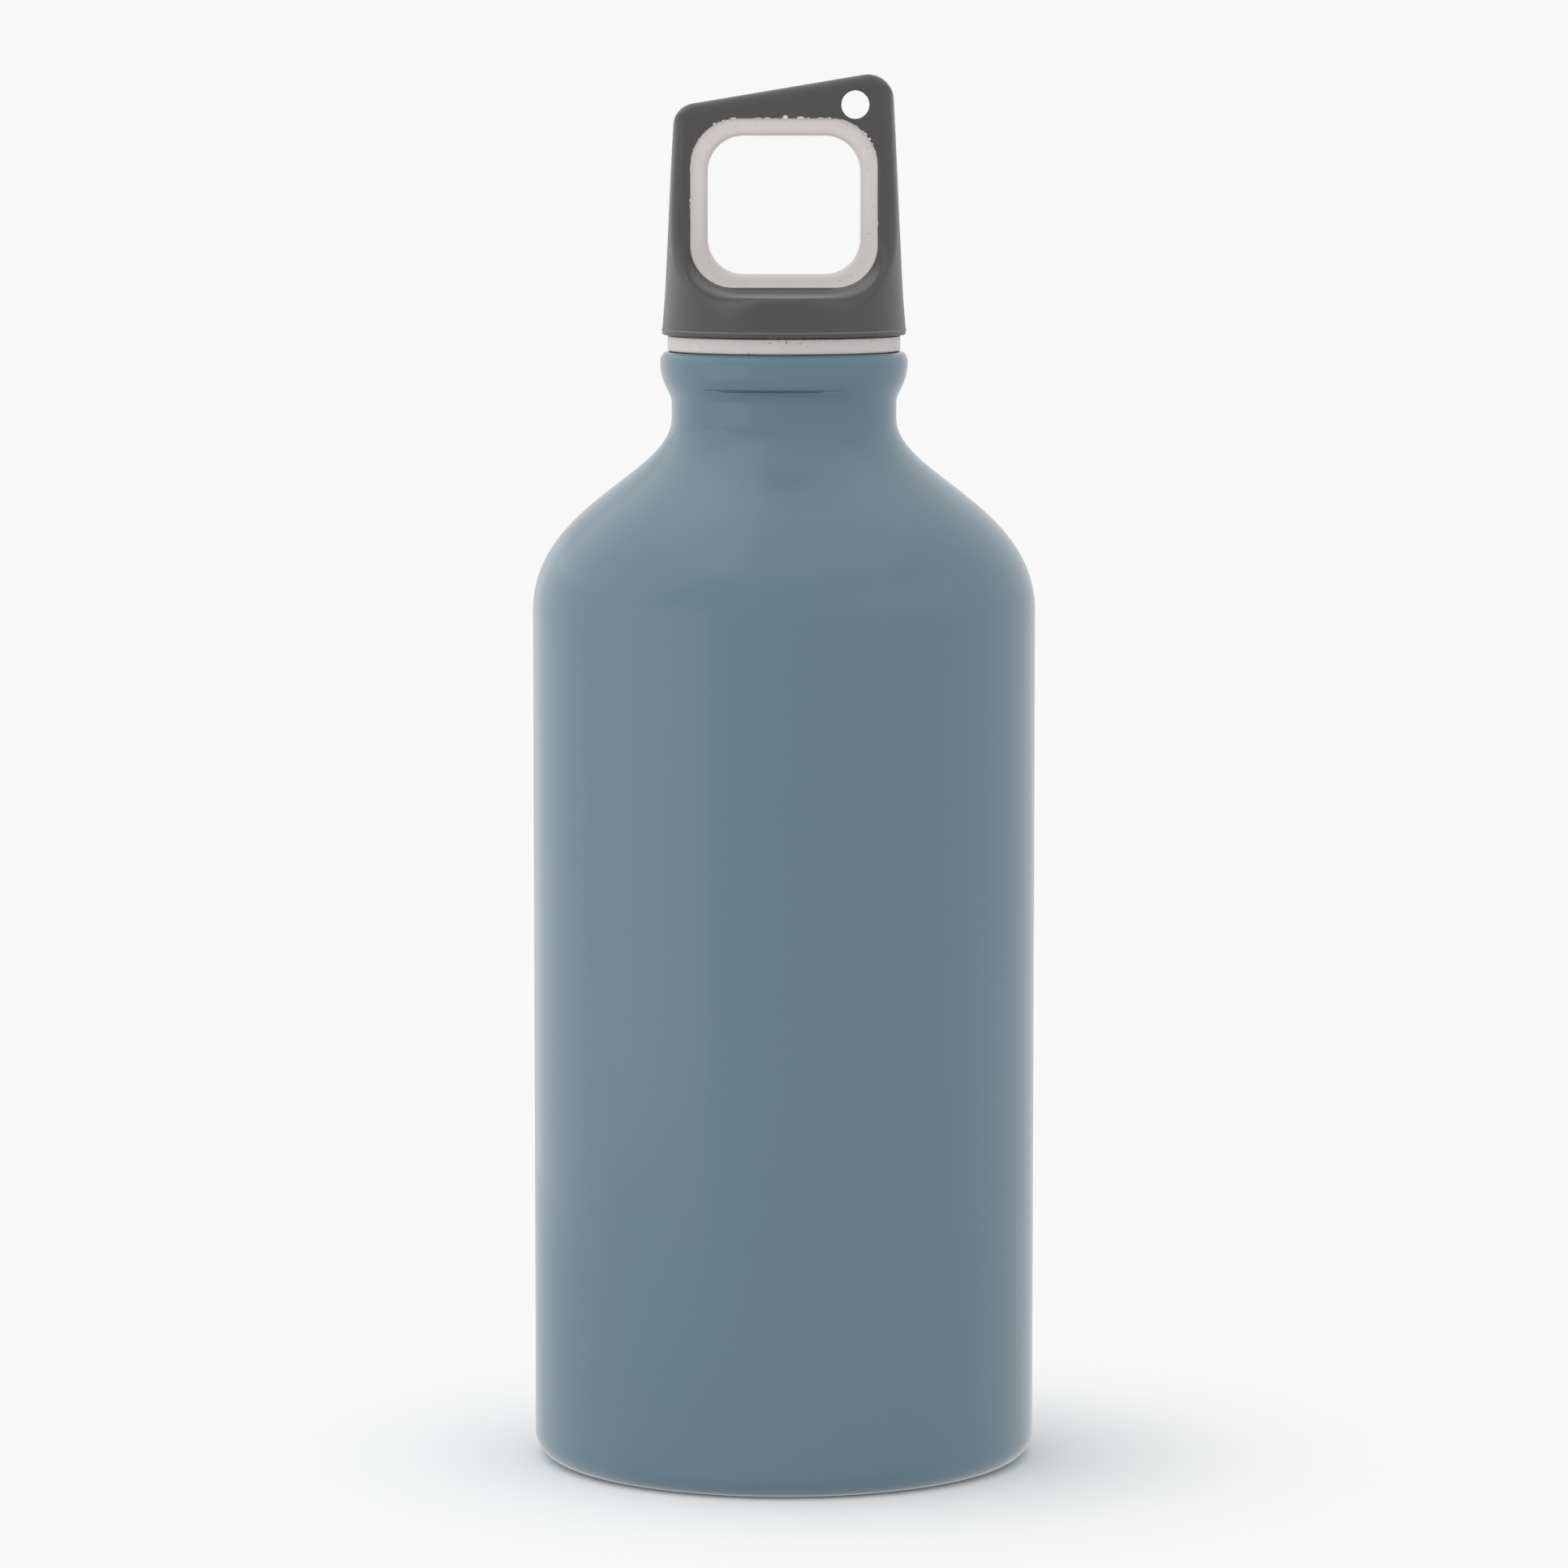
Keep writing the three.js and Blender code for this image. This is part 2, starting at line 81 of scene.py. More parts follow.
class Slot(Enum):
    """The record's material slots."""

    PAINT = "painted_aluminium"
    WHITE = "white_plastic"
    GREY = "grey_plastic"
    SILICONE = "silicone"


class Side(Enum):
    """Which side of a wall a screw thread stands on."""

    INSIDE = -1
    OUTSIDE = 1


# Colours and nodes


def linear(colour: str) -> tuple[float, float, float, float]:
    """Turns an sRGB hex colour to linear light.

    Args:
        colour: the colour as #RRGGBB.

    Returns:
        Red, green, blue and full alpha.
    """
    shares = [int(colour[i : i + 2], 16) / 255 for i in (1, 3, 5)]
    red, green, blue = (s / 12.92 if s <= 0.04045 else ((s + 0.055) / 1.055) ** 2.4 for s in shares)
    return red, green, blue, 1.0


def bare_tree(owner: bpy.types.Material | bpy.types.World) -> bpy.types.NodeTree:
    """Gives a material or a world an empty node tree."""
    owner.use_nodes = True
    owner.node_tree.nodes.clear()
    return owner.node_tree


def add_node(
    tree: bpy.types.NodeTree, kind: str, settings: dict, links: Links | None = None
) -> bpy.types.Node:
    """Adds a node with its settings and links.

    Args:
        tree: the node tree that gets the node.
        kind: the node's type name.
        settings: values for the node's own options and for its inputs, by name or by number.
        links: the outputs that feed the node's inputs, by the input's name or number.

    Returns:
        The new node.
    """
    node = tree.nodes.new(kind)
    for key, value in settings.items():
        if isinstance(key, str) and hasattr(node, key):
            setattr(node, key, value)
        else:
            node.inputs[key].default_value = value
    for key, socket in (links or {}).items():
        tree.links.new(socket, node.inputs[key])
    return node


def shown_rays(
    tree: bpy.types.NodeTree, fade: bpy.types.NodeSocket | None = None
) -> bpy.types.NodeSocket:
    """Tells the rays that show a surface from those that only light others.

    Args:
        tree: the node tree that asks.
        fade: the share that camera rays get. All of it, where this is left out.

    Returns:
        That share for camera rays, 1 for glossy and transmission rays, and 0 for the rest.
    """
    path = add_node(tree, "ShaderNodeLightPath", {}).outputs
    shown = path["Is Camera Ray"]
    if fade is not None:
        shown = add_node(tree, "ShaderNodeMath", {"operation": "MULTIPLY"}, {0: shown, 1: fade}).outputs[0]
    summed = {"operation": "ADD", "use_clamp": True}
    for rays in ("Is Glossy Ray", "Is Transmission Ray"):
        shown = add_node(tree, "ShaderNodeMath", summed, {0: shown, 1: path[rays]}).outputs[0]
    return shown


# Finishes


@dataclass(frozen=True)
class Finish:
    """A surface with a clouded colour, uneven gloss and a fine relief, all from noise of real sizes.

    Attributes:
        name: the finish's name.
        colour: its main colour.
        cloud_colour: the colour that it drifts to.
        cloud_size: how wide a drift of colour is.
        roughness: lowest and highest roughness.
        gloss_size: how wide a patch of other gloss is.
        relief_size: how wide a bump is.
        relief_height: how high a bump is.
        ior: index of refraction.
        metallic: 1 for bare metal.
        speck_colour: colour of the specks of dirt or dust on it.
        speck_size: how far apart the specks can be.
        speck_level: level of the noise, from 0 to 1, above which a speck shows. 1 gives none.
    """

    name: str
    colour: str
    cloud_colour: str
    cloud_size: float
    roughness: Pair
    gloss_size: float
    relief_size: float
    relief_height: float
    ior: float = 1.5
    metallic: float = 0.0
    speck_colour: str = "#000000"
    speck_size: float = 1.0
    speck_level: float = 1.0

    def material(self) -> bpy.types.Material:
        """Builds the material from nodes.

        Returns:
            The new material.
        """
        material = bpy.data.materials.new(self.name)
        tree = bare_tree(material)
        place = add_node(tree, "ShaderNodeTexCoord", {}).outputs["Object"]
        noises = [
            add_node(
                tree,
                "ShaderNodeTexNoise",
                {"Scale": 1 / (size * MM), "Detail": NOISE_DETAIL},
                {"Vector": place},
            )
            for size in (self.cloud_size, self.gloss_size, self.relief_size, self.speck_size)
        ]
        cloud, gloss, relief, dirt = (noise.outputs["Fac"] for noise in noises)
        colour = add_node(
            tree,
            "ShaderNodeMix",
            {"data_type": "RGBA", 6: linear(self.colour), 7: linear(self.cloud_colour)},
            {0: cloud},
        )
        if self.speck_level < 1:
            shown = {"From Min": self.speck_level, "From Max": self.speck_level + SPECK_FADE}
            specks = add_node(tree, "ShaderNodeMapRange", shown, {"Value": dirt})
            colour = add_node(
                tree,
                "ShaderNodeMix",
                {"data_type": "RGBA", 7: linear(self.speck_colour)},
                {0: specks.outputs[0], 6: colour.outputs[2]},
            )
        low, high = self.roughness
        roughness = add_node(tree, "ShaderNodeMapRange", {"To Min": low, "To Max": high}, {"Value": gloss})
        bump = add_node(tree, "ShaderNodeBump", {"Distance": self.relief_height * MM}, {"Height": relief})
        constants = {"Metallic": self.metallic}
        if not self.metallic:
            constants["IOR"] = self.ior
        shader = add_node(
            tree,
            "ShaderNodeBsdfPrincipled",
            constants,
            {"Base Color": colour.outputs[2], "Roughness": roughness.outputs[0], "Normal": bump.outputs[0]},
        )
        add_node(tree, "ShaderNodeOutputMaterial", {}, {"Surface": shader.outputs[0]})
        return material


# Stove enamel sprayed on drawn aluminium. The metal is hidden, and the eye gets an even, satin blue-grey with
# broad soft reflections that grow towards the edges, over the faint orange peel of a sprayed coat.
STOVE_ENAMEL = Finish(
    name="sprayed_stove_enamel",
    colour="#567281",
    cloud_colour="#54707F",
    cloud_size=45.0,
    roughness=(0.18, 0.22),
    gloss_size=3.0,
    relief_size=1.6,
    relief_height=0.002,
    ior=1.6,
)
# Food lacquer baked on the aluminium inside. It shows as a warm, dull metal.
LACQUERED_ALUMINIUM = Finish(
    name="lacquered_aluminium",
    colour="#C9BCA0",
    cloud_colour="#BFB193",
    cloud_size=20.0,
    roughness=(0.3, 0.42),
    gloss_size=6.0,
    relief_size=2.5,
    relief_height=0.004,
    metallic=1.0,
)
# Polypropylene moulded in white: off-white and satin, with the fine grain of the mould.
WHITE_POLYPROPYLENE = Finish(
    name="white_moulded_polypropylene",
    colour="#D1CBC8",
    cloud_colour="#CCC7C4",
    cloud_size=6.0,
    roughness=(0.4, 0.5),
    gloss_size=2.0,
    relief_size=0.5,
    relief_height=0.004,
    ior=1.49,
    speck_colour="#B5ABA1",
    speck_size=0.5,
    speck_level=0.66,
)
# The same polypropylene on the collar: greyer, as painted shade in its recess under the skirt, with brown
# specks of dirt.
SHADED_SOILED_POLYPROPYLENE = Finish(
    name="shaded_soiled_white_polypropylene",
    colour="#CBC8C6",
    cloud_colour="#BEBBB9",
    cloud_size=4.0,
    roughness=(0.4, 0.55),
    gloss_size=2.0,
    relief_size=0.5,
    relief_height=0.006,
    ior=1.49,
    speck_colour="#9C8B7C",
    speck_size=0.55,
    speck_level=0.64,
)
# Polypropylene moulded in dark grey: satin, a little cloudy where the melt ran, with the fine grain of a
# spark-eroded mould and a few grains of pale dust.
GREY_POLYPROPYLENE = Finish(
    name="grey_moulded_polypropylene",
    colour="#403E3D",
    cloud_colour="#3C3A3A",
    cloud_size=7.0,
    roughness=(0.32, 0.4),
    gloss_size=2.0,
    relief_size=0.35,
    relief_height=0.003,
    ior=1.55,
    speck_colour="#77736F",
    speck_size=0.6,
    speck_level=0.76,
)
# The same plastic on the flash of the mould's parting line: paler as a painted highlight, duller, with pale
# specks.
HIGHLIT_FLASH_POLYPROPYLENE = Finish(
    name="highlit_grey_flash_polypropylene",
    colour="#74726F",
    cloud_colour="#565453",
    cloud_size=2.0,
    roughness=(0.35, 0.5),
    gloss_size=1.0,
    relief_size=0.3,
    relief_height=0.01,
    ior=1.5,
    speck_colour="#B9B4AE",
    speck_size=0.8,
    speck_level=0.7,
)
# Moulded silicone rubber: milky and dull.
MOULDED_SILICONE = Finish(
    name="moulded_silicone",
    colour="#CFCDC6",
    cloud_colour="#C7C5BD",
    cloud_size=5.0,
    roughness=(0.5, 0.6),
    gloss_size=2.0,
    relief_size=0.6,
    relief_height=0.004,
    ior=1.41,
)


# Outlines


def unit(vector: np.ndarray) -> np.ndarray:
    """The vector, or each row of an array of vectors, with a length of one."""
    return vector / np.linalg.norm(vector, axis=-1, keepdims=True)


def arc(centre: Sequence[float], radii: Sequence[float], start: float, end: float, steps: int) -> np.ndarray:
    """Points along an arc of a circle or an ellipse.

    Args:
        centre: the arc's centre.
        radii: the half widths of the ellipse across and up.
        start: angle of the first point.
        end: angle of the last point.
        steps: how many steps the arc is cut into.

    Returns:
        One row for each point.
    """
    angles = np.radians(np.linspace(start, end, steps + 1))
    return np.array(centre) + np.array(radii) * np.stack([np.cos(angles), np.sin(angles)], axis=1)


def bezier(handles: Sequence[Sequence[float]], shares: np.ndarray) -> np.ndarray:
    """Points on a Bezier curve.

    Args:
        handles: the curve's control points.
        shares: how far along the curve each point is, from 0 to 1.

    Returns:
        One row for each share.
    """
    order = len(handles) - 1
    return sum(
        np.outer(math.comb(order, i) * shares**i * (1 - shares) ** (order - i), handle)
        for i, handle in enumerate(handles)
    )


def rounded_outline(corners: Sequence[Triple], steps: int, closed: bool) -> np.ndarray:
    """The points of an outline whose corners are rounded.

    Args:
        corners: the two coordinates and the rounding radius of each corner.
        steps: how many steps each rounding is cut into. A radius of 0 gives one point.
        closed: whether the last corner is joined to the first. The ends of an open outline stay sharp.

    Returns:
        One row for each point.
    """
    places = np.array([corner[:2] for corner in corners], float)
    runs = []
    for i, (_, _, radius) in enumerate(corners):
        at_end = not closed and i in (0, len(corners) - 1)
        if at_end or radius == 0:
            runs.append(places[i : i + 1])
            continue
        before = unit(places[i] - places[i - 1])
        after = unit(places[(i + 1) % len(corners)] - places[i])
        turn = math.atan2(before[0] * after[1] - before[1] * after[0], before @ after)
        start = places[i] - before * radius * math.tan(abs(turn) / 2)
        centre = start + math.copysign(radius, turn) * np.array([-before[1], before[0]])
        angle = math.degrees(math.atan2(*(start - centre)[::-1]))
        runs.append(arc(centre, (radius, radius), angle, angle + math.degrees(turn), steps))
    return np.concatenate(runs)


def spaced(points: np.ndarray, longest: float) -> np.ndarray:
    """Adds points to an outline so that no step is longer than a given length.

    Args:
        points: the outline.
        longest: the longest step that is left.

    Returns:
        The outline with its added points.
    """
    runs = [points[:1]]
    for here, there in zip(points, points[1:]):
        count = max(1, math.ceil(np.linalg.norm(there - here) / longest))
        runs.append(here + np.outer(np.arange(1, count + 1) / count, there - here))
    return np.concatenate(runs)


def divided(outline: np.ndarray, counts: np.ndarray) -> np.ndarray:
    """A closed outline with each of its steps divided into a number of equal steps.

    Args:
        outline: the points of the outline.
        counts: into how many steps each one is divided.

    Returns:
        The points of the divided outline.
    """
    share = np.concatenate([np.arange(count) / count for count in counts])[:, None]
    starts, ends = (np.repeat(points, counts, axis=0) for points in (outline, np.roll(outline, -1, axis=0)))
    return starts + share * (ends - starts)


# Surfaces


@dataclass
class Surface:
    """A closed surface.

    Attributes:
        points: one row for each point.
        faces: the point numbers of each face.
    """

    points: np.ndarray
    faces: list[tuple[int, ...]]

    def joined(self, other: "Surface") -> "Surface":
        """Puts another surface beside this one.

        Args:
            other: the surface to add.

        Returns:
            Both as one.
        """
        first = len(self.points)
        moved = [tuple(first + i for i in face) for face in other.faces]
        return Surface(np.concatenate([self.points, other.points]), self.faces + moved)

    def raised(self, height: float) -> "Surface":
        """The same surface, higher by a length."""
        return Surface(self.points + (0, 0, height), self.faces)


def skinned(rows: np.ndarray, looped: bool) -> Surface:
    """Skins rows of points, each row joined to the next and its last point to its first.

    Args:
        rows: the points of each row.
        looped: whether the last row is joined to the first. Otherwise both are drawn to a single point.

    Returns:
        The skin, made of quads, with triangles at single points.
    """
    numbers = np.arange(rows.shape[0] * rows.shape[1]).reshape(rows.shape[:2])
    if looped:
        numbers = np.concatenate([numbers, numbers[:1]])
    else:
        numbers[0] = numbers[0, 0]
        numbers[-1] = numbers[-1, 0]
    used, renumbered = np.unique(numbers, return_inverse=True)
    renumbered = renumbered.reshape(numbers.shape)
    low, high = renumbered[:-1], renumbered[1:]
    quads = np.stack([low, np.roll(low, -1, 1), np.roll(high, -1, 1), high], axis=-1)
    faces = [tuple(dict.fromkeys(quad)) for quad in quads.reshape(-1, 4).tolist()]
    return Surface(rows.reshape(-1, 3)[used], faces)


def turned(outline: np.ndarray, steps: int, growth: Callable | None = None, ring: bool = False) -> Surface:
    """Turns an outline about the Z axis.

    Args:
        outline: radius and height of each point, with the material on the left of its direction.
        steps: how many steps a turn has.
        growth: gives what is added to the radius, from arrays of angles, radii and heights.
        ring: whether the outline closes on itself. Otherwise its ends lie on the axis.

    Returns:
        The turned surface.
    """
    angles = np.linspace(0, 2 * math.pi, steps, endpoint=False)[None, :]
    radii = np.repeat(outline[:, :1], steps, axis=1)
    heights = np.repeat(outline[:, 1:], steps, axis=1)
    if growth:
        radii = radii + growth(np.repeat(angles, len(outline), axis=0), radii, heights)
    points = np.stack([radii * np.cos(angles), radii * np.sin(angles), heights], axis=-1)
    return skinned(points, looped=ring)


# Distances


def round_both(a: np.ndarray, b: np.ndarray, radius: np.ndarray | float, lean: float = 0.0) -> np.ndarray:
    """Distance to what lies in both of two shapes, with the edge between them rounded.

    Args:
        a: distance to the first shape, negative inside.
        b: distance to the second shape.
        radius: radius of the edge.
        lean: cosine of the angle between the ways that the two shapes face.

    Returns:
        The distance, negative inside.
    """
    u, v = a + radius, b + radius
    at_edge = (u > lean * v) & (v > lean * u)
    across = np.sqrt(np.maximum(u * u + v * v - 2 * lean * u * v, 0) / (1 - lean * lean))
    return np.where(at_edge, across - radius, np.maximum(a, b))


def blend_both(a: np.ndarray, b: np.ndarray, width: np.ndarray | float) -> np.ndarray:
    """Distance to what lies in both of two shapes, blended softly along the edge between them.

    Args:
        a: distance to the first shape, negative inside.
        b: distance to the second shape.
        width: how far from the edge the blend starts, on each shape.

    Returns:
        The distance, negative inside.
    """
    near = np.maximum(width - np.abs(a - b), 0)
    return np.maximum(a, b) + near**2 / (4 * width)


def eased(share: np.ndarray) -> np.ndarray:
    """A share that is held between 0 and 1 and starts and ends softly."""
    held = np.clip(share, 0, 1)
    return (3 - 2 * held) * held**2


def pane(
    x: np.ndarray, z: np.ndarray, half: float, foot: float, top: float, radii: Pair
) -> np.ndarray:
    """Distance to a rectangle with its own corner radius at the foot and at the top.

    Args:
        x: place across.
        z: height.
        half: half the rectangle's width.
        foot: its lower edge.
        top: its upper edge.
        radii: corner radius at the foot and at the top.

    Returns:
        The distance, negative inside.
    """
    middle = (foot + top) / 2
    radius = np.where(z < middle, *radii)
    across = np.abs(x) - half + radius
    up = np.abs(z - middle) - (top - foot) / 2 + radius
    outside = np.hypot(np.maximum(across, 0), np.maximum(up, 0))
    return outside + np.minimum(np.maximum(across, up), 0) - radius


def slope_of(distance: Callable, points: np.ndarray) -> np.ndarray:
    """The slope of a distance at each point.

    Args:
        distance: gives the distance at an array of points.
        points: one row for each point.

    Returns:
        One row for each point.
    """
    steps = NUDGE * np.eye(3)
    return np.stack([distance(points + s) - distance(points - s) for s in steps], axis=-1) / (2 * NUDGE)


def drawn_onto(distance: Callable, points: np.ndarray, rounds: int) -> np.ndarray:
    """Moves points onto the surface where a distance is zero.

    Args:
        distance: gives the distance at an array of points.
        points: one row for each point.
        rounds: how many times the points are moved.

    Returns:
        The moved points.
    """
    for _ in range(rounds):
        slope = slope_of(distance, points)
        steepness = np.maximum((slope**2).sum(-1), LEAST_STEEPNESS)
        points = points - slope * (distance(points) / steepness)[:, None]
    return points


def net_over(distance: Callable, low: np.ndarray, high: np.ndarray, cell: float) -> Surface:
    """Nets the surface where a distance is zero, with one point in each cell that it crosses.

    Args:
        distance: gives the distance at an array of points, negative inside.
        low: lowest corner of the space that is searched.
        high: highest corner.
        cell: width of a cell.

    Returns:
        The netted surface, made of quads.
    """
    axes = [np.arange(a, b + cell, cell) for a, b in zip(low, high)]
    values = distance(np.stack(np.meshgrid(*axes, indexing="ij"), axis=-1))
    size = np.array(values.shape) - 1
    total = np.zeros((*size, 3))
    count = np.zeros(size)
    crossings = []
    for axis in range(3):
        first = np.take(values, range(size[axis]), axis)
        second = np.take(values, range(1, size[axis] + 1), axis)
        crossed = (first < 0) != (second < 0)
        share = np.where(crossed, first / np.where(crossed, first - second, 1), 0)
        crossings.append((crossed, first < 0))
        for offset in np.ndindex(2, 2):
            corner = np.insert(offset, axis, 0)
            window = tuple(slice(corner[i], corner[i] + size[i]) for i in range(3))
            count += crossed[window]
            total[..., axis] += share[window]
            for other in range(3):
                if other != axis:
                    total[..., other] += crossed[window] * corner[other]
    active = count > 0
    numbers = np.cumsum(active).reshape(size) - 1
    points = low + cell * (np.argwhere(active) + total[active] / count[active][:, None])
    faces = []
    for axis, (crossed, leaving) in enumerate(crossings):
        around = [i for i in range(3) if i != axis]
        edges = np.argwhere(crossed)
        edges = edges[(edges[:, around] > 0).all(1) & (edges[:, around] < size[around]).all(1)]
        back = np.eye(3, dtype=int)[around]
        if axis == 1:
            back = back[::-1]
        ring = [edges - back[0] - back[1], edges - back[1], edges, edges - back[0]]
        quads = np.stack([numbers[tuple(cells.T)] for cells in ring], axis=1)
        outward = leaving[tuple(edges.T)]
        quads[~outward] = quads[~outward, ::-1]
        faces.extend(map(tuple, quads.tolist()))
    return Surface(points, faces)


def evened(surface: Surface, distance: Callable, rounds: int) -> Surface:
    """Evens out a netted surface: points slide towards the middle of their neighbours and back onto it.

    Args:
        surface: the netted surface.
        distance: gives the distance that it was netted from.
        rounds: how many times its points slide.

    Returns:
        The evened surface.
    """
    quads = np.array(surface.faces)
    starts = quads.ravel()
    ends = np.roll(quads, -1, axis=1).ravel()
    share = np.bincount(starts, minlength=len(surface.points))[:, None]
    points = drawn_onto(distance, surface.points, rounds=4)
    for _ in range(rounds):
        total = np.stack([np.bincount(starts, points[ends, i], len(points)) for i in range(3)], axis=-1)
        points = drawn_onto(distance, (points + total / share) / 2, rounds=1)
    return Surface(drawn_onto(distance, points, rounds=3), surface.faces)


def ellipsoid(centre: np.ndarray, axes: np.ndarray, steps: int = 10) -> Surface:
    """A small closed lump.

    Args:
        centre: its centre.
        axes: its three half axes, one a row, right-handed.
        steps: how many sides it has.

    Returns:
        The lump.
    """
    around = turned(arc((0, 0), (1, 1), -90, 90, steps // 2), steps)
    return Surface(centre + around.points @ axes, around.faces)


# Pieces


def new_object(name: str, data: bpy.types.ID) -> bpy.types.Object:
    """Adds an object to the scene."""
    made = bpy.data.objects.new(name, data)
    bpy.context.scene.collection.objects.link(made)
    return made


def dressed_piece(
    name: str, surface: Surface, finishes: Sequence[Finish], picks: np.ndarray | None = None
) -> bpy.types.Object:
    """Makes an object of a surface and dresses it.

    Args:
        name: the piece's name.
        surface: its surface.
        finishes: its finishes.
        picks: which finish each face has. The first, where this is left out.

    Returns:
        The object.
    """
    mesh = bpy.data.meshes.new(name)
    mesh.from_pydata(surface.points * MM, [], surface.faces)
    for finish in finishes:
        mesh.materials.append(finish.material())
    if picks is not None:
        mesh.polygons.foreach_set("material_index", picks)
    mesh.shade_smooth()
    mesh.set_sharp_from_angle(angle=math.radians(SHARP_EDGE))
    return new_object(name, mesh)


def box_of(node: str) -> tuple[np.ndarray, np.ndarray]:
    """The lowest and highest corner of a node, in millimetres."""
    low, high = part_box(node)
    return np.array(low) / MM, np.array(high) / MM


# Sub-assemblies


@dataclass(frozen=True)
class ScrewThread:
    """The thread between the neck insert and the cap's plug, right-handed.

    Attributes:
        pitch: rise in a turn.
        depth: height of a ridge.
        crest: width of a ridge at its crest.
        root: width of a ridge at its root.
        run_in: turn over which a ridge grows to its full depth.
    """

    pitch: float = 4.0
    depth: float = 1.2
    crest: float = 1.09
    root: float = 2.21
    run_in: float = 60.0

    def ridge(self, angles: np.ndarray, heights: np.ndarray, ends: Pair, passes: float) -> np.ndarray:
        """How far the ridge stands out at each place of the wall that carries it.

        Args:
            angles: angle of each place.
            heights: height of each place.
            ends: heights of the ridge's middle where it starts and stops.
            passes: a height at which the ridge's middle passes +X.

        Returns:
            The ridge's height at each place.
        """
        turns = angles / (2 * math.pi)
        whole = np.round((heights - passes) / self.pitch - turns)
        middle = passes + self.pitch * (turns + whole)
        flank = (self.root / 2 - np.abs(heights - middle)) / ((self.root - self.crest) / 2)
        grown = np.minimum(middle - ends[0], ends[1] - middle) / (self.pitch * self.run_in / 360)
        return self.depth * eased(flank) * eased(grown)


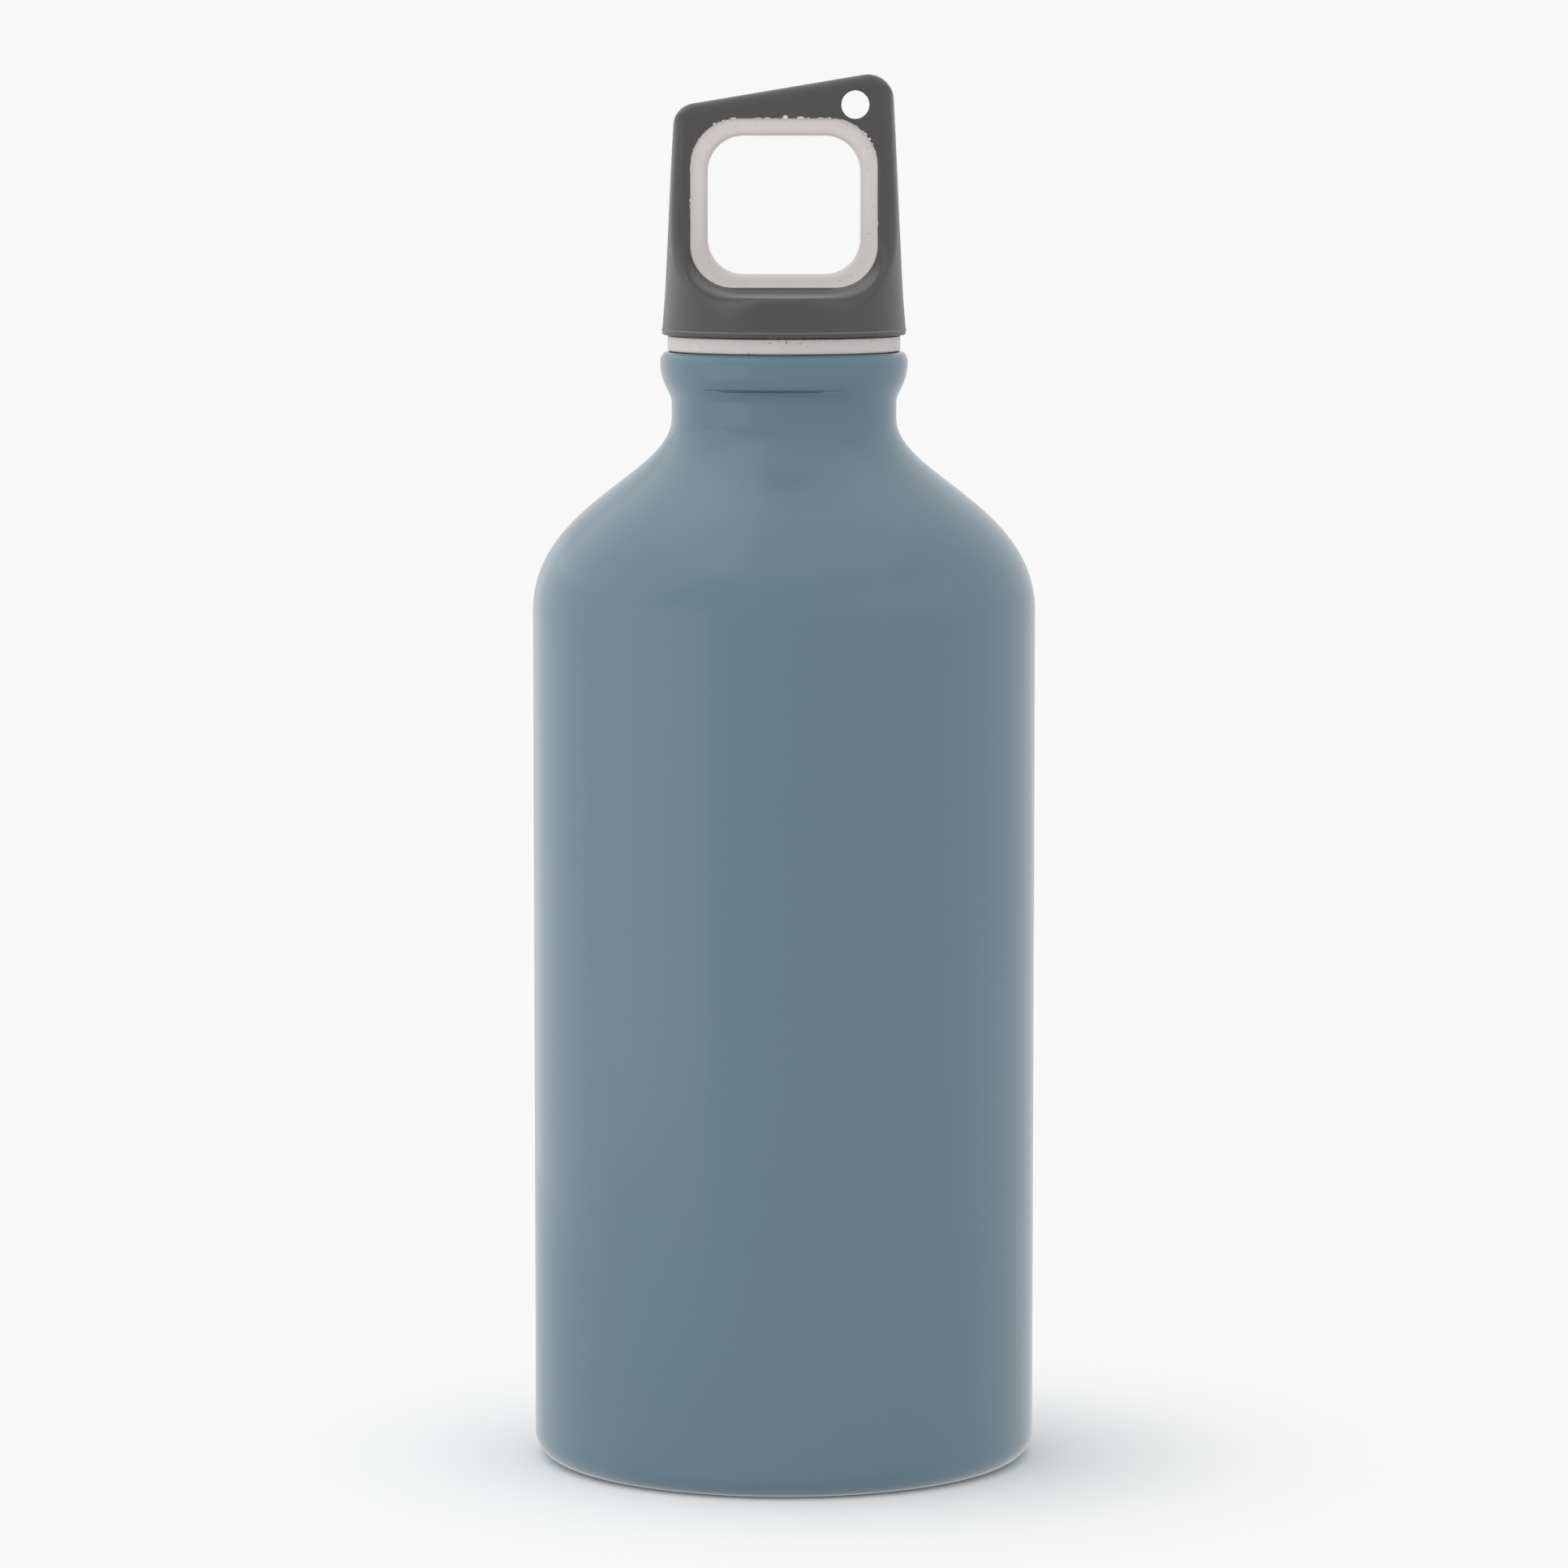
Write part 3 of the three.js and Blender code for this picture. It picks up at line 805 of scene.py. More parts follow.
@dataclass
class BottleBody:
    """The bottle itself: one shell of aluminium with a pushed-in base, a shoulder, a neck and a rolled lip.

    Attributes:
        wall: thickness of the wall.
        base_wall: thickness of the base.
        base_corner: radius between the wall and the standing ring.
        standing_ring: width of the flat ring that the bottle stands on.
        base_dome: how far the middle of the base is pushed in.
        straight_height: where the wall ends and the shoulder starts.
        shoulder_height: height of the shoulder.
        shoulder_fullness: how far the shoulder's curve keeps to the wall.
        neck_sweep: how far the shoulder's curve keeps to the neck.
        neck_diameter: outside of the neck.
        neck_length: straight part of the neck.
        lip_projection: how far the lip stands past the neck.
        roll_height: from the neck to the top of the lip.
        roll_crown: from the lip's widest place to its top.
        roll_sweep: how far the roll's curve keeps to the neck and to the lip's widest place.
        crease_fall: from the top of the lip to the crease where the roll's edge meets the neck.
        crease_width: width of the crease.
        crease_rows: rows of points across the crease.
        crease_depth: depth of the crease where it is deepest.
        crease_stretches: bearing from the front and half length of each stretch where the crease is open.
        crease_growth: how fast a stretch opens. 1 takes its half length, and more is faster.
        lip_flat: width of the flat land on top.
        mouth_chamfer: chamfer of the mouth.
        mouth_rounds: rounding of the chamfer's upper and lower edge.
        paint_rows: rows of faces past the land that are still painted.
        dome_steps: steps along the base, from its middle to the standing ring.
        corner_steps: steps along the corner of the base, outside and inside.
        shoulder_steps: steps along the shoulder.
        roll_steps: steps along the roll, up to its widest place.
        crown_steps: steps from there to the land.
        longest_step: longest step along the outline.
        steps: steps in a turn.
    """

    wall: float = 0.8
    base_wall: float = 1.0
    base_corner: float = 3.6
    standing_ring: float = 6.0
    base_dome: float = 4.5
    straight_height: float = 124.1
    shoulder_height: float = 28.0
    shoulder_fullness: float = 15.6
    neck_sweep: float = 8.3
    neck_diameter: float = 32.6
    neck_length: float = 2.2
    lip_projection: float = 1.65
    roll_height: float = 7.45
    roll_crown: float = 1.5
    roll_sweep: Pair = (1.7, 3.3)
    crease_fall: float = 5.15
    crease_width: float = 0.36
    crease_rows: int = 6
    crease_depth: float = 0.35
    crease_stretches: tuple[Pair, ...] = ((-7.0, 40.0), (118.0, 26.0), (-140.0, 41.0))
    crease_growth: float = 1.6
    lip_flat: float = 0.45
    mouth_chamfer: float = 0.9
    mouth_rounds: Pair = (0.15, 0.3)
    paint_rows: int = 4
    dome_steps: int = 24
    corner_steps: tuple[int, int] = (16, 12)
    shoulder_steps: int = 48
    roll_steps: int = 32
    crown_steps: int = 14
    longest_step: float = 1.5
    steps: int = 192

    def __post_init__(self) -> None:
        """Takes the outer sizes from the frame."""
        low, high = box_of("bottle_body")
        self.radius = (high[0] - low[0]) / 2
        self.lip_top = high[2]
        self.neck_radius = self.neck_diameter / 2
        self.bore_radius = self.neck_radius - self.wall
        self.land_outer = self.bore_radius + self.mouth_chamfer + self.lip_flat
        self.crease = self.lip_top - self.crease_fall
        self.ring_outer = self.radius - self.base_corner
        self.ring_inner = self.ring_outer - self.standing_ring
        self.dome_radius = (self.ring_inner**2 + self.base_dome**2) / (2 * self.base_dome)
        self.dome_centre = self.base_dome - self.dome_radius

    def shoulder(self) -> np.ndarray:
        """The outside of the shoulder, from the wall to the neck."""
        top = self.straight_height + self.shoulder_height
        handles = [
            (self.radius, self.straight_height),
            (self.radius, self.straight_height + self.shoulder_fullness),
            (self.neck_radius, top - self.neck_sweep),
            (self.neck_radius, top),
        ]
        return bezier(handles, np.linspace(0, 1, self.shoulder_steps + 1))

    def outside(self) -> np.ndarray:
        """The outline from the middle of the base, up the outside and over the lip to the mouth.

        Returns:
            Radius and height of each point.
        """
        dome_edge = math.degrees(math.atan2(-self.dome_centre, self.ring_inner))
        base_radii = (self.base_corner, self.base_corner)
        lip = self.neck_radius + self.lip_projection
        neck_top = self.lip_top - self.roll_height
        crown = self.lip_top - self.roll_crown
        crown_radii = (lip - self.land_outer, self.roll_crown)
        roll = [
            (self.neck_radius, neck_top),
            (self.neck_radius, neck_top + self.roll_sweep[0]),
            (lip, crown - self.roll_sweep[1]),
            (lip, crown),
        ]
        rolled = bezier(roll, np.linspace(0, 1, self.roll_steps + 1))
        runs = [
            arc((0, self.dome_centre), (self.dome_radius, self.dome_radius), 90, dome_edge, self.dome_steps),
            arc((self.ring_outer, self.base_corner), base_radii, -90, 0, self.corner_steps[0]),
            self.shoulder(),
            spaced(rolled, self.crease_width / self.crease_rows),
            arc((self.land_outer, crown), crown_radii, 0, 90, self.crown_steps),
        ]
        return np.concatenate(runs)

    def inside(self) -> np.ndarray:
        """The outline from the land on the lip, down the inside to the middle of the floor.

        Returns:
            Radius and height of each point.
        """
        inside_dome = self.dome_radius + self.base_wall
        rise = self.base_wall - self.dome_centre
        dome_edge = math.degrees(math.asin(rise / inside_dome))
        along = unit(np.gradient(self.shoulder(), axis=0))
        shoulder = self.shoulder() + self.wall * np.stack([-along[:, 1], along[:, 0]], axis=1)
        shoulder[[0, -1], 0] = self.radius - self.wall, self.bore_radius
        floor_radii = (self.base_corner - self.wall, self.base_corner - self.base_wall)
        upper, lower = self.mouth_rounds
        mouth = [
            (self.land_outer, self.lip_top, 0.0),
            (self.bore_radius + self.mouth_chamfer, self.lip_top, upper),
            (self.bore_radius, self.lip_top - self.mouth_chamfer, lower),
            (self.bore_radius, shoulder[-1, 1], 0.0),
        ]
        runs = [
            rounded_outline(mouth, steps=4, closed=False)[1:],
            shoulder[-2::-1],
            arc((self.ring_outer, self.base_corner), floor_radii, 0, -90, self.corner_steps[1]),
            arc((0, self.dome_centre), (inside_dome, inside_dome), dome_edge, 90, self.dome_steps),
        ]
        return np.concatenate(runs)

    def creased(self, angles: np.ndarray, radii: np.ndarray, heights: np.ndarray) -> np.ndarray:
        """The crease under the roll, open in stretches where the roll stands off the neck.

        Args:
            angles: angle of each place.
            radii: radius of each place.
            heights: height of each place.

        Returns:
            What the crease adds to the radius, which is never more than 0.
        """
        across = 1 - np.abs(heights - self.crease) / (self.crease_width / 2)
        outside = radii > self.neck_radius
        opened = np.zeros_like(angles)
        for bearing, half in self.crease_stretches:
            away = np.degrees(angles) + 90 - bearing
            away = np.abs((away + 180) % 360 - 180)
            opened = np.maximum(opened, eased(self.crease_growth * (1 - away / half)))
        return -self.crease_depth * np.clip(across, 0, 1) * outside * opened

    def build(self) -> bpy.types.Object:
        """Builds the body, painted outside and lacquered inside.

        Returns:
            The dressed piece.
        """
        outside, inside = (spaced(run, self.longest_step) for run in (self.outside(), self.inside()))
        outline = np.concatenate([outside, inside])
        outline[[0, -1], 0] = 0
        surface = turned(outline, self.steps, self.creased)
        painted = (len(outside) + self.paint_rows) * self.steps
        picks = (np.arange(len(surface.faces)) >= painted).astype(np.int32)
        made = dressed_piece("painted_bottle", surface, [STOVE_ENAMEL, LACQUERED_ALUMINIUM], picks)
        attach(made, Body.BOTTLE.value)
        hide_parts("bottle_body")
        return made


@dataclass
class NeckInsert:
    """The threaded ring that is snapped into the neck.

    Attributes:
        body: the bottle that holds it.
        thread: its thread.
        gap: gap to the neck.
        thickness: its wall.
        catch: step that holds it under the neck.
        catch_height: height of the catch.
        lead_in: chamfer at the top of the thread.
        thread_lead: plain length at each end of the thread.
        edge: rounding of its edges.
        longest_step: longest step along its outline.
        steps: steps in a turn.
    """

    body: BottleBody
    thread: ScrewThread = ScrewThread()
    gap: float = 0.25
    thickness: float = 1.75
    catch: float = 0.6
    catch_height: float = 1.6
    lead_in: float = 0.5
    thread_lead: float = 1.0
    edge: float = 0.15
    longest_step: float = 0.15
    steps: int = 144

    def __post_init__(self) -> None:
        """Takes the heights from the frame."""
        low, _ = box_of("neck_thread_insert")
        self.foot = low[2] - self.body.lip_top
        self.radius = self.body.bore_radius - self.gap
        self.root = self.radius - self.thickness
        self.helix_end = -self.thread_lead - self.thread.root / 2

    def build(self, plug_start: float) -> bpy.types.Object:
        """Builds the insert, with its thread half a pitch above the plug's.

        Args:
            plug_start: height at which the plug's ridge passes +X.

        Returns:
            The dressed piece.
        """
        catch_top = self.foot + self.catch_height
        chamfer = self.body.mouth_chamfer
        diagonal = math.sqrt(2) * self.gap
        corners = [
            (self.root, self.foot, self.edge),
            (self.radius, self.foot, self.edge),
            (self.radius + self.catch, catch_top - self.catch, self.edge),
            (self.radius + self.catch, catch_top, self.edge),
            (self.radius, catch_top, 0.0),
            (self.radius, -chamfer + diagonal - self.gap, self.edge),
            (self.body.bore_radius + chamfer - diagonal, 0.0, self.edge),
            (self.root + self.lead_in, 0.0, self.edge),
            (self.root, -self.lead_in, self.edge),
        ]
        outline = rounded_outline(corners, steps=4, closed=True)
        outline = spaced(np.concatenate([outline, outline[:1]]), self.longest_step)[:-1]
        start = self.foot + self.thread_lead + self.thread.root / 2
        passes = plug_start + self.thread.pitch / 2

        def growth(angles: np.ndarray, radii: np.ndarray, heights: np.ndarray) -> np.ndarray:
            """The ridge, on the inside of the ring alone."""
            ridge = self.thread.ridge(angles, heights, (start, self.helix_end), passes)
            return Side.INSIDE.value * ridge * (radii < self.root + self.lead_in)

        surface = turned(outline, self.steps, growth, ring=True).raised(self.body.lip_top)
        made = dressed_piece("threaded_neck_ring", surface, [WHITE_POLYPROPYLENE])
        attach(made, Body.BOTTLE.value)
        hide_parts("neck_thread_insert")
        return made


@dataclass
class CapSeal:
    """The washer in the underside of the cap.

    Attributes:
        inner: its inner radius.
        edge: rounding of its edges.
        steps: steps in a turn.
    """

    inner: float = 13.3
    edge: float = 0.3
    steps: int = 144

    def build(self) -> bpy.types.Object:
        """Builds the washer in the place of its node.

        Returns:
            The dressed piece.
        """
        low, high = box_of("cap_seal")
        corners = [
            (self.inner, low[2], self.edge),
            (high[0], low[2], self.edge),
            (high[0], high[2], self.edge),
            (self.inner, high[2], self.edge),
        ]
        surface = turned(rounded_outline(corners, steps=6, closed=True), self.steps, ring=True)
        made = dressed_piece("silicone_washer", surface, [MOULDED_SILICONE])
        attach(made, Body.SEAL.value)
        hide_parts("cap_seal")
        return made


@dataclass
class Hollow:
    """The hollow in front of the carrying loop, and the same one behind it.

    Attributes:
        face: distance of the loop's faces from the middle of the loop.
        margin: how far it reaches past the shell.
        foot: its lowest place, at the loop.
        radii: its corners, at the loop and at the skirt.
        fall: how much lower it is at the skirt.
        fillets: rounding between it and the loop's faces, in front of the loop and beside it.
        fillet_places: places across between which that rounding grows.
    """

    face: float = 4.5
    margin: float = 0.25
    foot: float = 8.72
    radii: Pair = (13.2, 9.0)
    fall: float = 0.6
    fillets: Pair = (3.4, 6.5)
    fillet_places: Pair = (9.0, 15.0)

    def __post_init__(self) -> None:
        """Takes its reach from the frame."""
        low, high = box_of("cap_shell")
        self.reach = (high[0] - low[0]) / 2 + self.margin

    def distance(self, x: np.ndarray, y: np.ndarray, z: np.ndarray) -> np.ndarray:
        """Distance to the hollow and the one behind.

        Args:
            x: place across.
            y: place from front to back.
            z: height.

        Returns:
            The distance, negative inside.
        """
        past_face = np.abs(y) - self.face
        share = np.clip(past_face / (self.reach - self.face), 0, 1)
        near, far = self.radii
        radius = near + (far - near) * share
        across = np.abs(x) - self.reach + radius
        down = self.foot - self.fall * share + radius - z
        corner = np.hypot(np.maximum(across, 0), np.maximum(down, 0))
        sides = corner + np.minimum(np.maximum(across, down), 0) - radius
        inner, outer = self.fillet_places
        front, beside = self.fillets
        fillet = front + (beside - front) * eased((np.abs(x) - inner) / (outer - inner))
        return blend_both(sides, -past_face, fillet)

    def front(self, x: np.ndarray, z: np.ndarray) -> np.ndarray:
        """Distance of the loop's faces from the middle of the loop, with the rounding towards the hollow.

        Args:
            x: place across.
            z: height.

        Returns:
            The distance.
        """
        near = np.full(np.shape(x), self.face)
        far = np.full(np.shape(x), self.reach)
        for _ in range(HALVINGS):
            middle = (near + far) / 2
            solid = self.distance(x, middle, z) > 0
            near, far = np.where(solid, middle, near), np.where(solid, far, middle)
        return near


@dataclass
class LinerRing:
    """The white ring that lines the carrying loop.

    Attributes:
        foot: its lower edge.
        top: its upper edge.
        half: half its width.
        hollow: the hollow that its faces follow at the foot.
        side: width of its uprights.
        bars: width of its lower and its upper cross bar.
        corners: outer corner radius at the foot and at the top.
        window_corner: inner corner radius.
        recess: how far its faces lie behind the shell's.
        squareness: how flat its faces are. 2 is an ellipse, and more is flatter.
        sunk: how far it reaches into the shell round it.
        corner_steps: steps along a corner.
        longest_step: longest step along its outline.
        section_steps: steps round its section, from the front to the back.
        flash_lumps: bearing from its middle, half length and half height of each larger lump of flash.
        flash_depth: half the depth of a lump of flash.
        flash_step: longest step between the places where flash can be.
        flakes: how many small flakes of flash each of its faces has.
        flake_bearings: bearings between which most flakes lie, over the top of the ring.
        flake_shares: share of the flakes that lie there, and share that lie anywhere.
        flake_lengths: smallest and largest half length of a flake.
        flake_heights: smallest and largest half height of a flake.
        seed: where the random draws for the flakes start.
    """

    foot: float = 9.35
    top: float = 33.61
    half: float = 13.49
    hollow: Hollow = field(default_factory=Hollow)
    side: float = 2.45
    bars: Pair = (1.75, 2.5)
    corners: Pair = (6.2, 6.9)
    window_corner: float = 5.2
    recess: float = 0.3
    squareness: float = 7.0
    sunk: float = 0.25
    corner_steps: int = 20
    longest_step: float = 0.5
    section_steps: int = 60
    flash_lumps: tuple[Triple, ...] = (
        (131.5, 0.2, 0.2),
        (121.0, 0.5, 0.11),
        (101.4, 0.42, 0.1),
        (89.2, 0.38, 0.32),
        (78.6, 0.55, 0.18),
        (67.0, 0.4, 0.09),
        (61.5, 0.2, 0.1),
        (41.9, 0.14, 0.12),
        (39.9, 0.25, 0.15),
        (36.5, 0.2, 0.18),
        (33.5, 0.15, 0.1),
    )
    flash_depth: float = 0.1
    flash_step: float = 0.1
    flakes: int = 36
    flake_bearings: Pair = (25.0, 135.0)
    flake_shares: Pair = (0.75, 0.25)
    flake_lengths: Pair = (0.08, 0.4)
    flake_heights: Pair = (0.03, 0.09)
    seed: int = 7

    def outer(self, spread: float) -> np.ndarray:
        """The outer outline in (x, z), anticlockwise, made larger all round by a length."""
        half, low, high = self.half + spread, self.foot - spread, self.top + spread
        foot, top = (corner + spread for corner in self.corners)
        corners = [(-half, low, foot), (half, low, foot), (half, high, top), (-half, high, top)]
        return rounded_outline(corners, self.corner_steps, closed=True)

    def window(self) -> np.ndarray:
        """The window's outline in (x, z), with as many points as the outer outline."""
        half, low, high = self.half - self.side, self.foot + self.bars[0], self.top - self.bars[1]
        places = [(-half, low), (half, low), (half, high), (-half, high)]
        corners = [(x, z, self.window_corner) for x, z in places]
        return rounded_outline(corners, self.corner_steps, closed=True)

    def surface(self) -> Surface:
        """Sweeps the ring's section round the window.

        Returns:
            The ring's surface.
        """
        outer, window = self.outer(self.sunk), self.window()
        lengths = np.linalg.norm(np.roll(outer, -1, axis=0) - outer, axis=1)
        counts = np.ceil(lengths / self.longest_step).astype(int)
        outer, window = divided(outer, counts), divided(window, counts)
        angles = math.pi / 2 * (1 - np.cos(np.linspace(0, math.pi, self.section_steps + 1)))
        power = 2 / self.squareness
        inwards = np.sin(angles).clip(0) ** power
        depth = np.sign(np.cos(angles)) * np.abs(np.cos(angles)) ** power
        flat = outer[:, None] + (window - outer)[:, None] * inwards[None, :, None]
        face = self.hollow.front(flat[..., 0], flat[..., 1]) - self.recess
        return skinned(np.stack([flat[..., 0], face * depth, flat[..., 1]], axis=-1), looped=True)

    def flash(self) -> Surface:
        """The lumps and flakes that bled over the shell along the ring's outer edge, when it was moulded.

        Returns:
            Their surfaces, together.
        """
        outer = self.outer(0.0)
        outline = spaced(np.concatenate([outer, outer[:1]]), self.flash_step)[:-1]
        along = unit(np.roll(outline, -1, axis=0) - np.roll(outline, 1, axis=0))
        middle = np.array([0, (self.foot + self.top) / 2])
        bearings = np.degrees(np.arctan2(*(outline - middle).T[::-1]))
        draws = np.random.default_rng(self.seed)
        lumps = [(-1, *lump) for lump in self.flash_lumps]
        for side in (-1, 1):
            for _ in range(self.flakes):
                places = [draws.uniform(*self.flake_bearings), draws.uniform(-180, 180)]
                bearing = draws.choice(places, p=self.flake_shares)
                half_length = draws.uniform(*self.flake_lengths)
                lumps.append((side, bearing, half_length, draws.uniform(*self.flake_heights)))
        made = []
        for side, bearing, half_length, half_height in lumps:
            near = np.argmin(np.abs((bearings - bearing + 180) % 360 - 180))
            (x, z), (run_x, run_z) = outline[near], along[near]
            out = np.array([run_z, 0, -run_x])
            axes = np.array([[half_length * run_x, 0, half_length * run_z], [0, 0, 0], half_height * out])
            axes[1] = self.flash_depth * unit(np.cross(axes[2], axes[0]))
            centre = np.array([x, side * self.hollow.front(x, z), z]) + out * half_height / 2
            made.append(ellipsoid(centre, axes))
        return reduce(Surface.joined, made)


@dataclass
class CapCore:
    """The white moulding of the cap: threaded plug, collar, boss and the liner ring of the loop.

    Attributes:
        insert: the neck insert that its plug screws into.
        ring: the liner ring.
        thread: its thread.
        thread_clearance: gap between the threads.
        plug_wall: wall of the hollow plug.
        plug_chamfer: chamfer of the plug's foot.
        hollow_corner: rounding inside the plug's hollow.
        deck: roof over the plug's hollow.
        collar_rim: wall round the seal's groove.
        collar_web: thickness over the seal.
        collar_round: rounding of the collar's lower edge.
        cap_gap: gap between the lip and the collar, which the pressed seal lets nearly close.
        groove_top: roof of the seal's groove.
        boss_radius: radius of the boss inside the shell.
        boss_top: top of the boss.
        edge: rounding of the other edges.
        tang_depth: thickness of the tang that carries the ring.
        tang_edge: rounding of the tang's edges.
        longest_step: longest step along the outline of what is turned.
        steps: steps in a turn.
    """

    insert: NeckInsert
    ring: LinerRing
    thread: ScrewThread = ScrewThread()
    thread_clearance: float = 0.35
    plug_wall: float = 2.0
    plug_chamfer: float = 0.6
    hollow_corner: float = 1.2
    deck: float = 2.0
    collar_rim: float = 0.8
    collar_web: float = 0.7
    collar_round: float = 0.3
    cap_gap: float = 0.08
    groove_top: float = 1.6
    boss_radius: float = 14.47
    boss_top: float = 6.861
    edge: float = 0.15
    tang_depth: float = 5.0
    tang_edge: float = 0.4
    longest_step: float = 0.18
    steps: int = 160

    def __post_init__(self) -> None:
        """Takes the outer sizes from the frame."""
        low, high = box_of("cap_core")
        self.lip_top = self.insert.body.lip_top
        self.collar_radius = (high[0] - low[0]) / 2
        self.plug_foot = low[2] - self.lip_top
        self.plug_root = self.insert.root - self.thread_clearance - self.thread.depth
        self.helix_start = self.plug_foot + self.insert.thread_lead + self.thread.root / 2

    def turned_part(self) -> Surface:
        """The plug, the collar and the boss.

        Returns:
            Their surface.
        """
        groove = self.collar_radius - self.collar_rim
        collar_top = self.groove_top + self.collar_web
        hollow = self.plug_root - self.plug_wall
        edge = self.edge
        corners = [
            (0.0, self.boss_top - self.deck, 0.0),
            (hollow, self.boss_top - self.deck, self.hollow_corner),
            (hollow, self.plug_foot, edge),
            (self.plug_root - self.plug_chamfer, self.plug_foot, edge),
            (self.plug_root, self.plug_foot + self.plug_chamfer, edge),
            (self.plug_root, self.groove_top, edge),
            (groove, self.groove_top, edge),
            (groove, self.cap_gap, edge),
            (self.collar_radius, self.cap_gap, self.collar_round),
            (self.collar_radius, collar_top, edge),
            (self.boss_radius, collar_top, edge),
            (self.boss_radius, self.boss_top, edge),
            (0.0, self.boss_top, 0.0),
        ]
        outline = spaced(rounded_outline(corners, steps=5, closed=False), self.longest_step)
        ends = (self.helix_start, self.insert.helix_end)

        def growth(angles: np.ndarray, radii: np.ndarray, heights: np.ndarray) -> np.ndarray:
            """The ridge, on the outside of the plug alone."""
            ridge = self.thread.ridge(angles, heights, ends, self.helix_start)
            on_plug = (radii > self.plug_root - self.plug_chamfer) & (heights < 0)
            return Side.OUTSIDE.value * ridge * on_plug

        return turned(outline, self.steps, growth)

    def tang(self) -> Surface:
        """The tang that carries the liner ring, inside the shell.

        Returns:
            Its surface.
        """
        half = self.ring.half - self.ring.corners[0]
        low = self.boss_top - self.deck / 2
        high = self.ring.foot + self.ring.bars[0] / 2
        depth = self.tang_depth / 2
        places = [(-half, -depth), (half, -depth), (half, depth), (-half, depth)]
        outline = rounded_outline([(x, y, self.tang_edge) for x, y in places], steps=4, closed=True)
        middle = np.zeros_like(outline)
        levels = [(low, middle), (low, outline), (high, outline), (high, middle)]
        rows = [np.column_stack([level, np.full(len(level), z)]) for z, level in levels]
        return skinned(np.stack(rows), looped=False)

    def build(self) -> bpy.types.Object:
        """Builds the core as one moulding.

        Returns:
            The dressed piece.
        """
        turned_part = self.turned_part()
        inner = self.tang().joined(self.ring.surface()).joined(self.ring.flash())
        surface = turned_part.joined(inner).raised(self.lip_top)
        # The collar and the boss take the greyer finish, which paints shade into the collar's recess; its
        # brown specks are dirt.
        picks = np.zeros(len(surface.faces), np.int32)
        picks[: len(turned_part.faces)] = [
            0 < turned_part.points[face[0], 2] < self.boss_top for face in turned_part.faces
        ]
        finishes = [WHITE_POLYPROPYLENE, SHADED_SOILED_POLYPROPYLENE]
        made = dressed_piece("white_cap_core", surface, finishes, picks)
        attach(made, Body.CAP.value)
        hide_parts("cap_core")
        return made


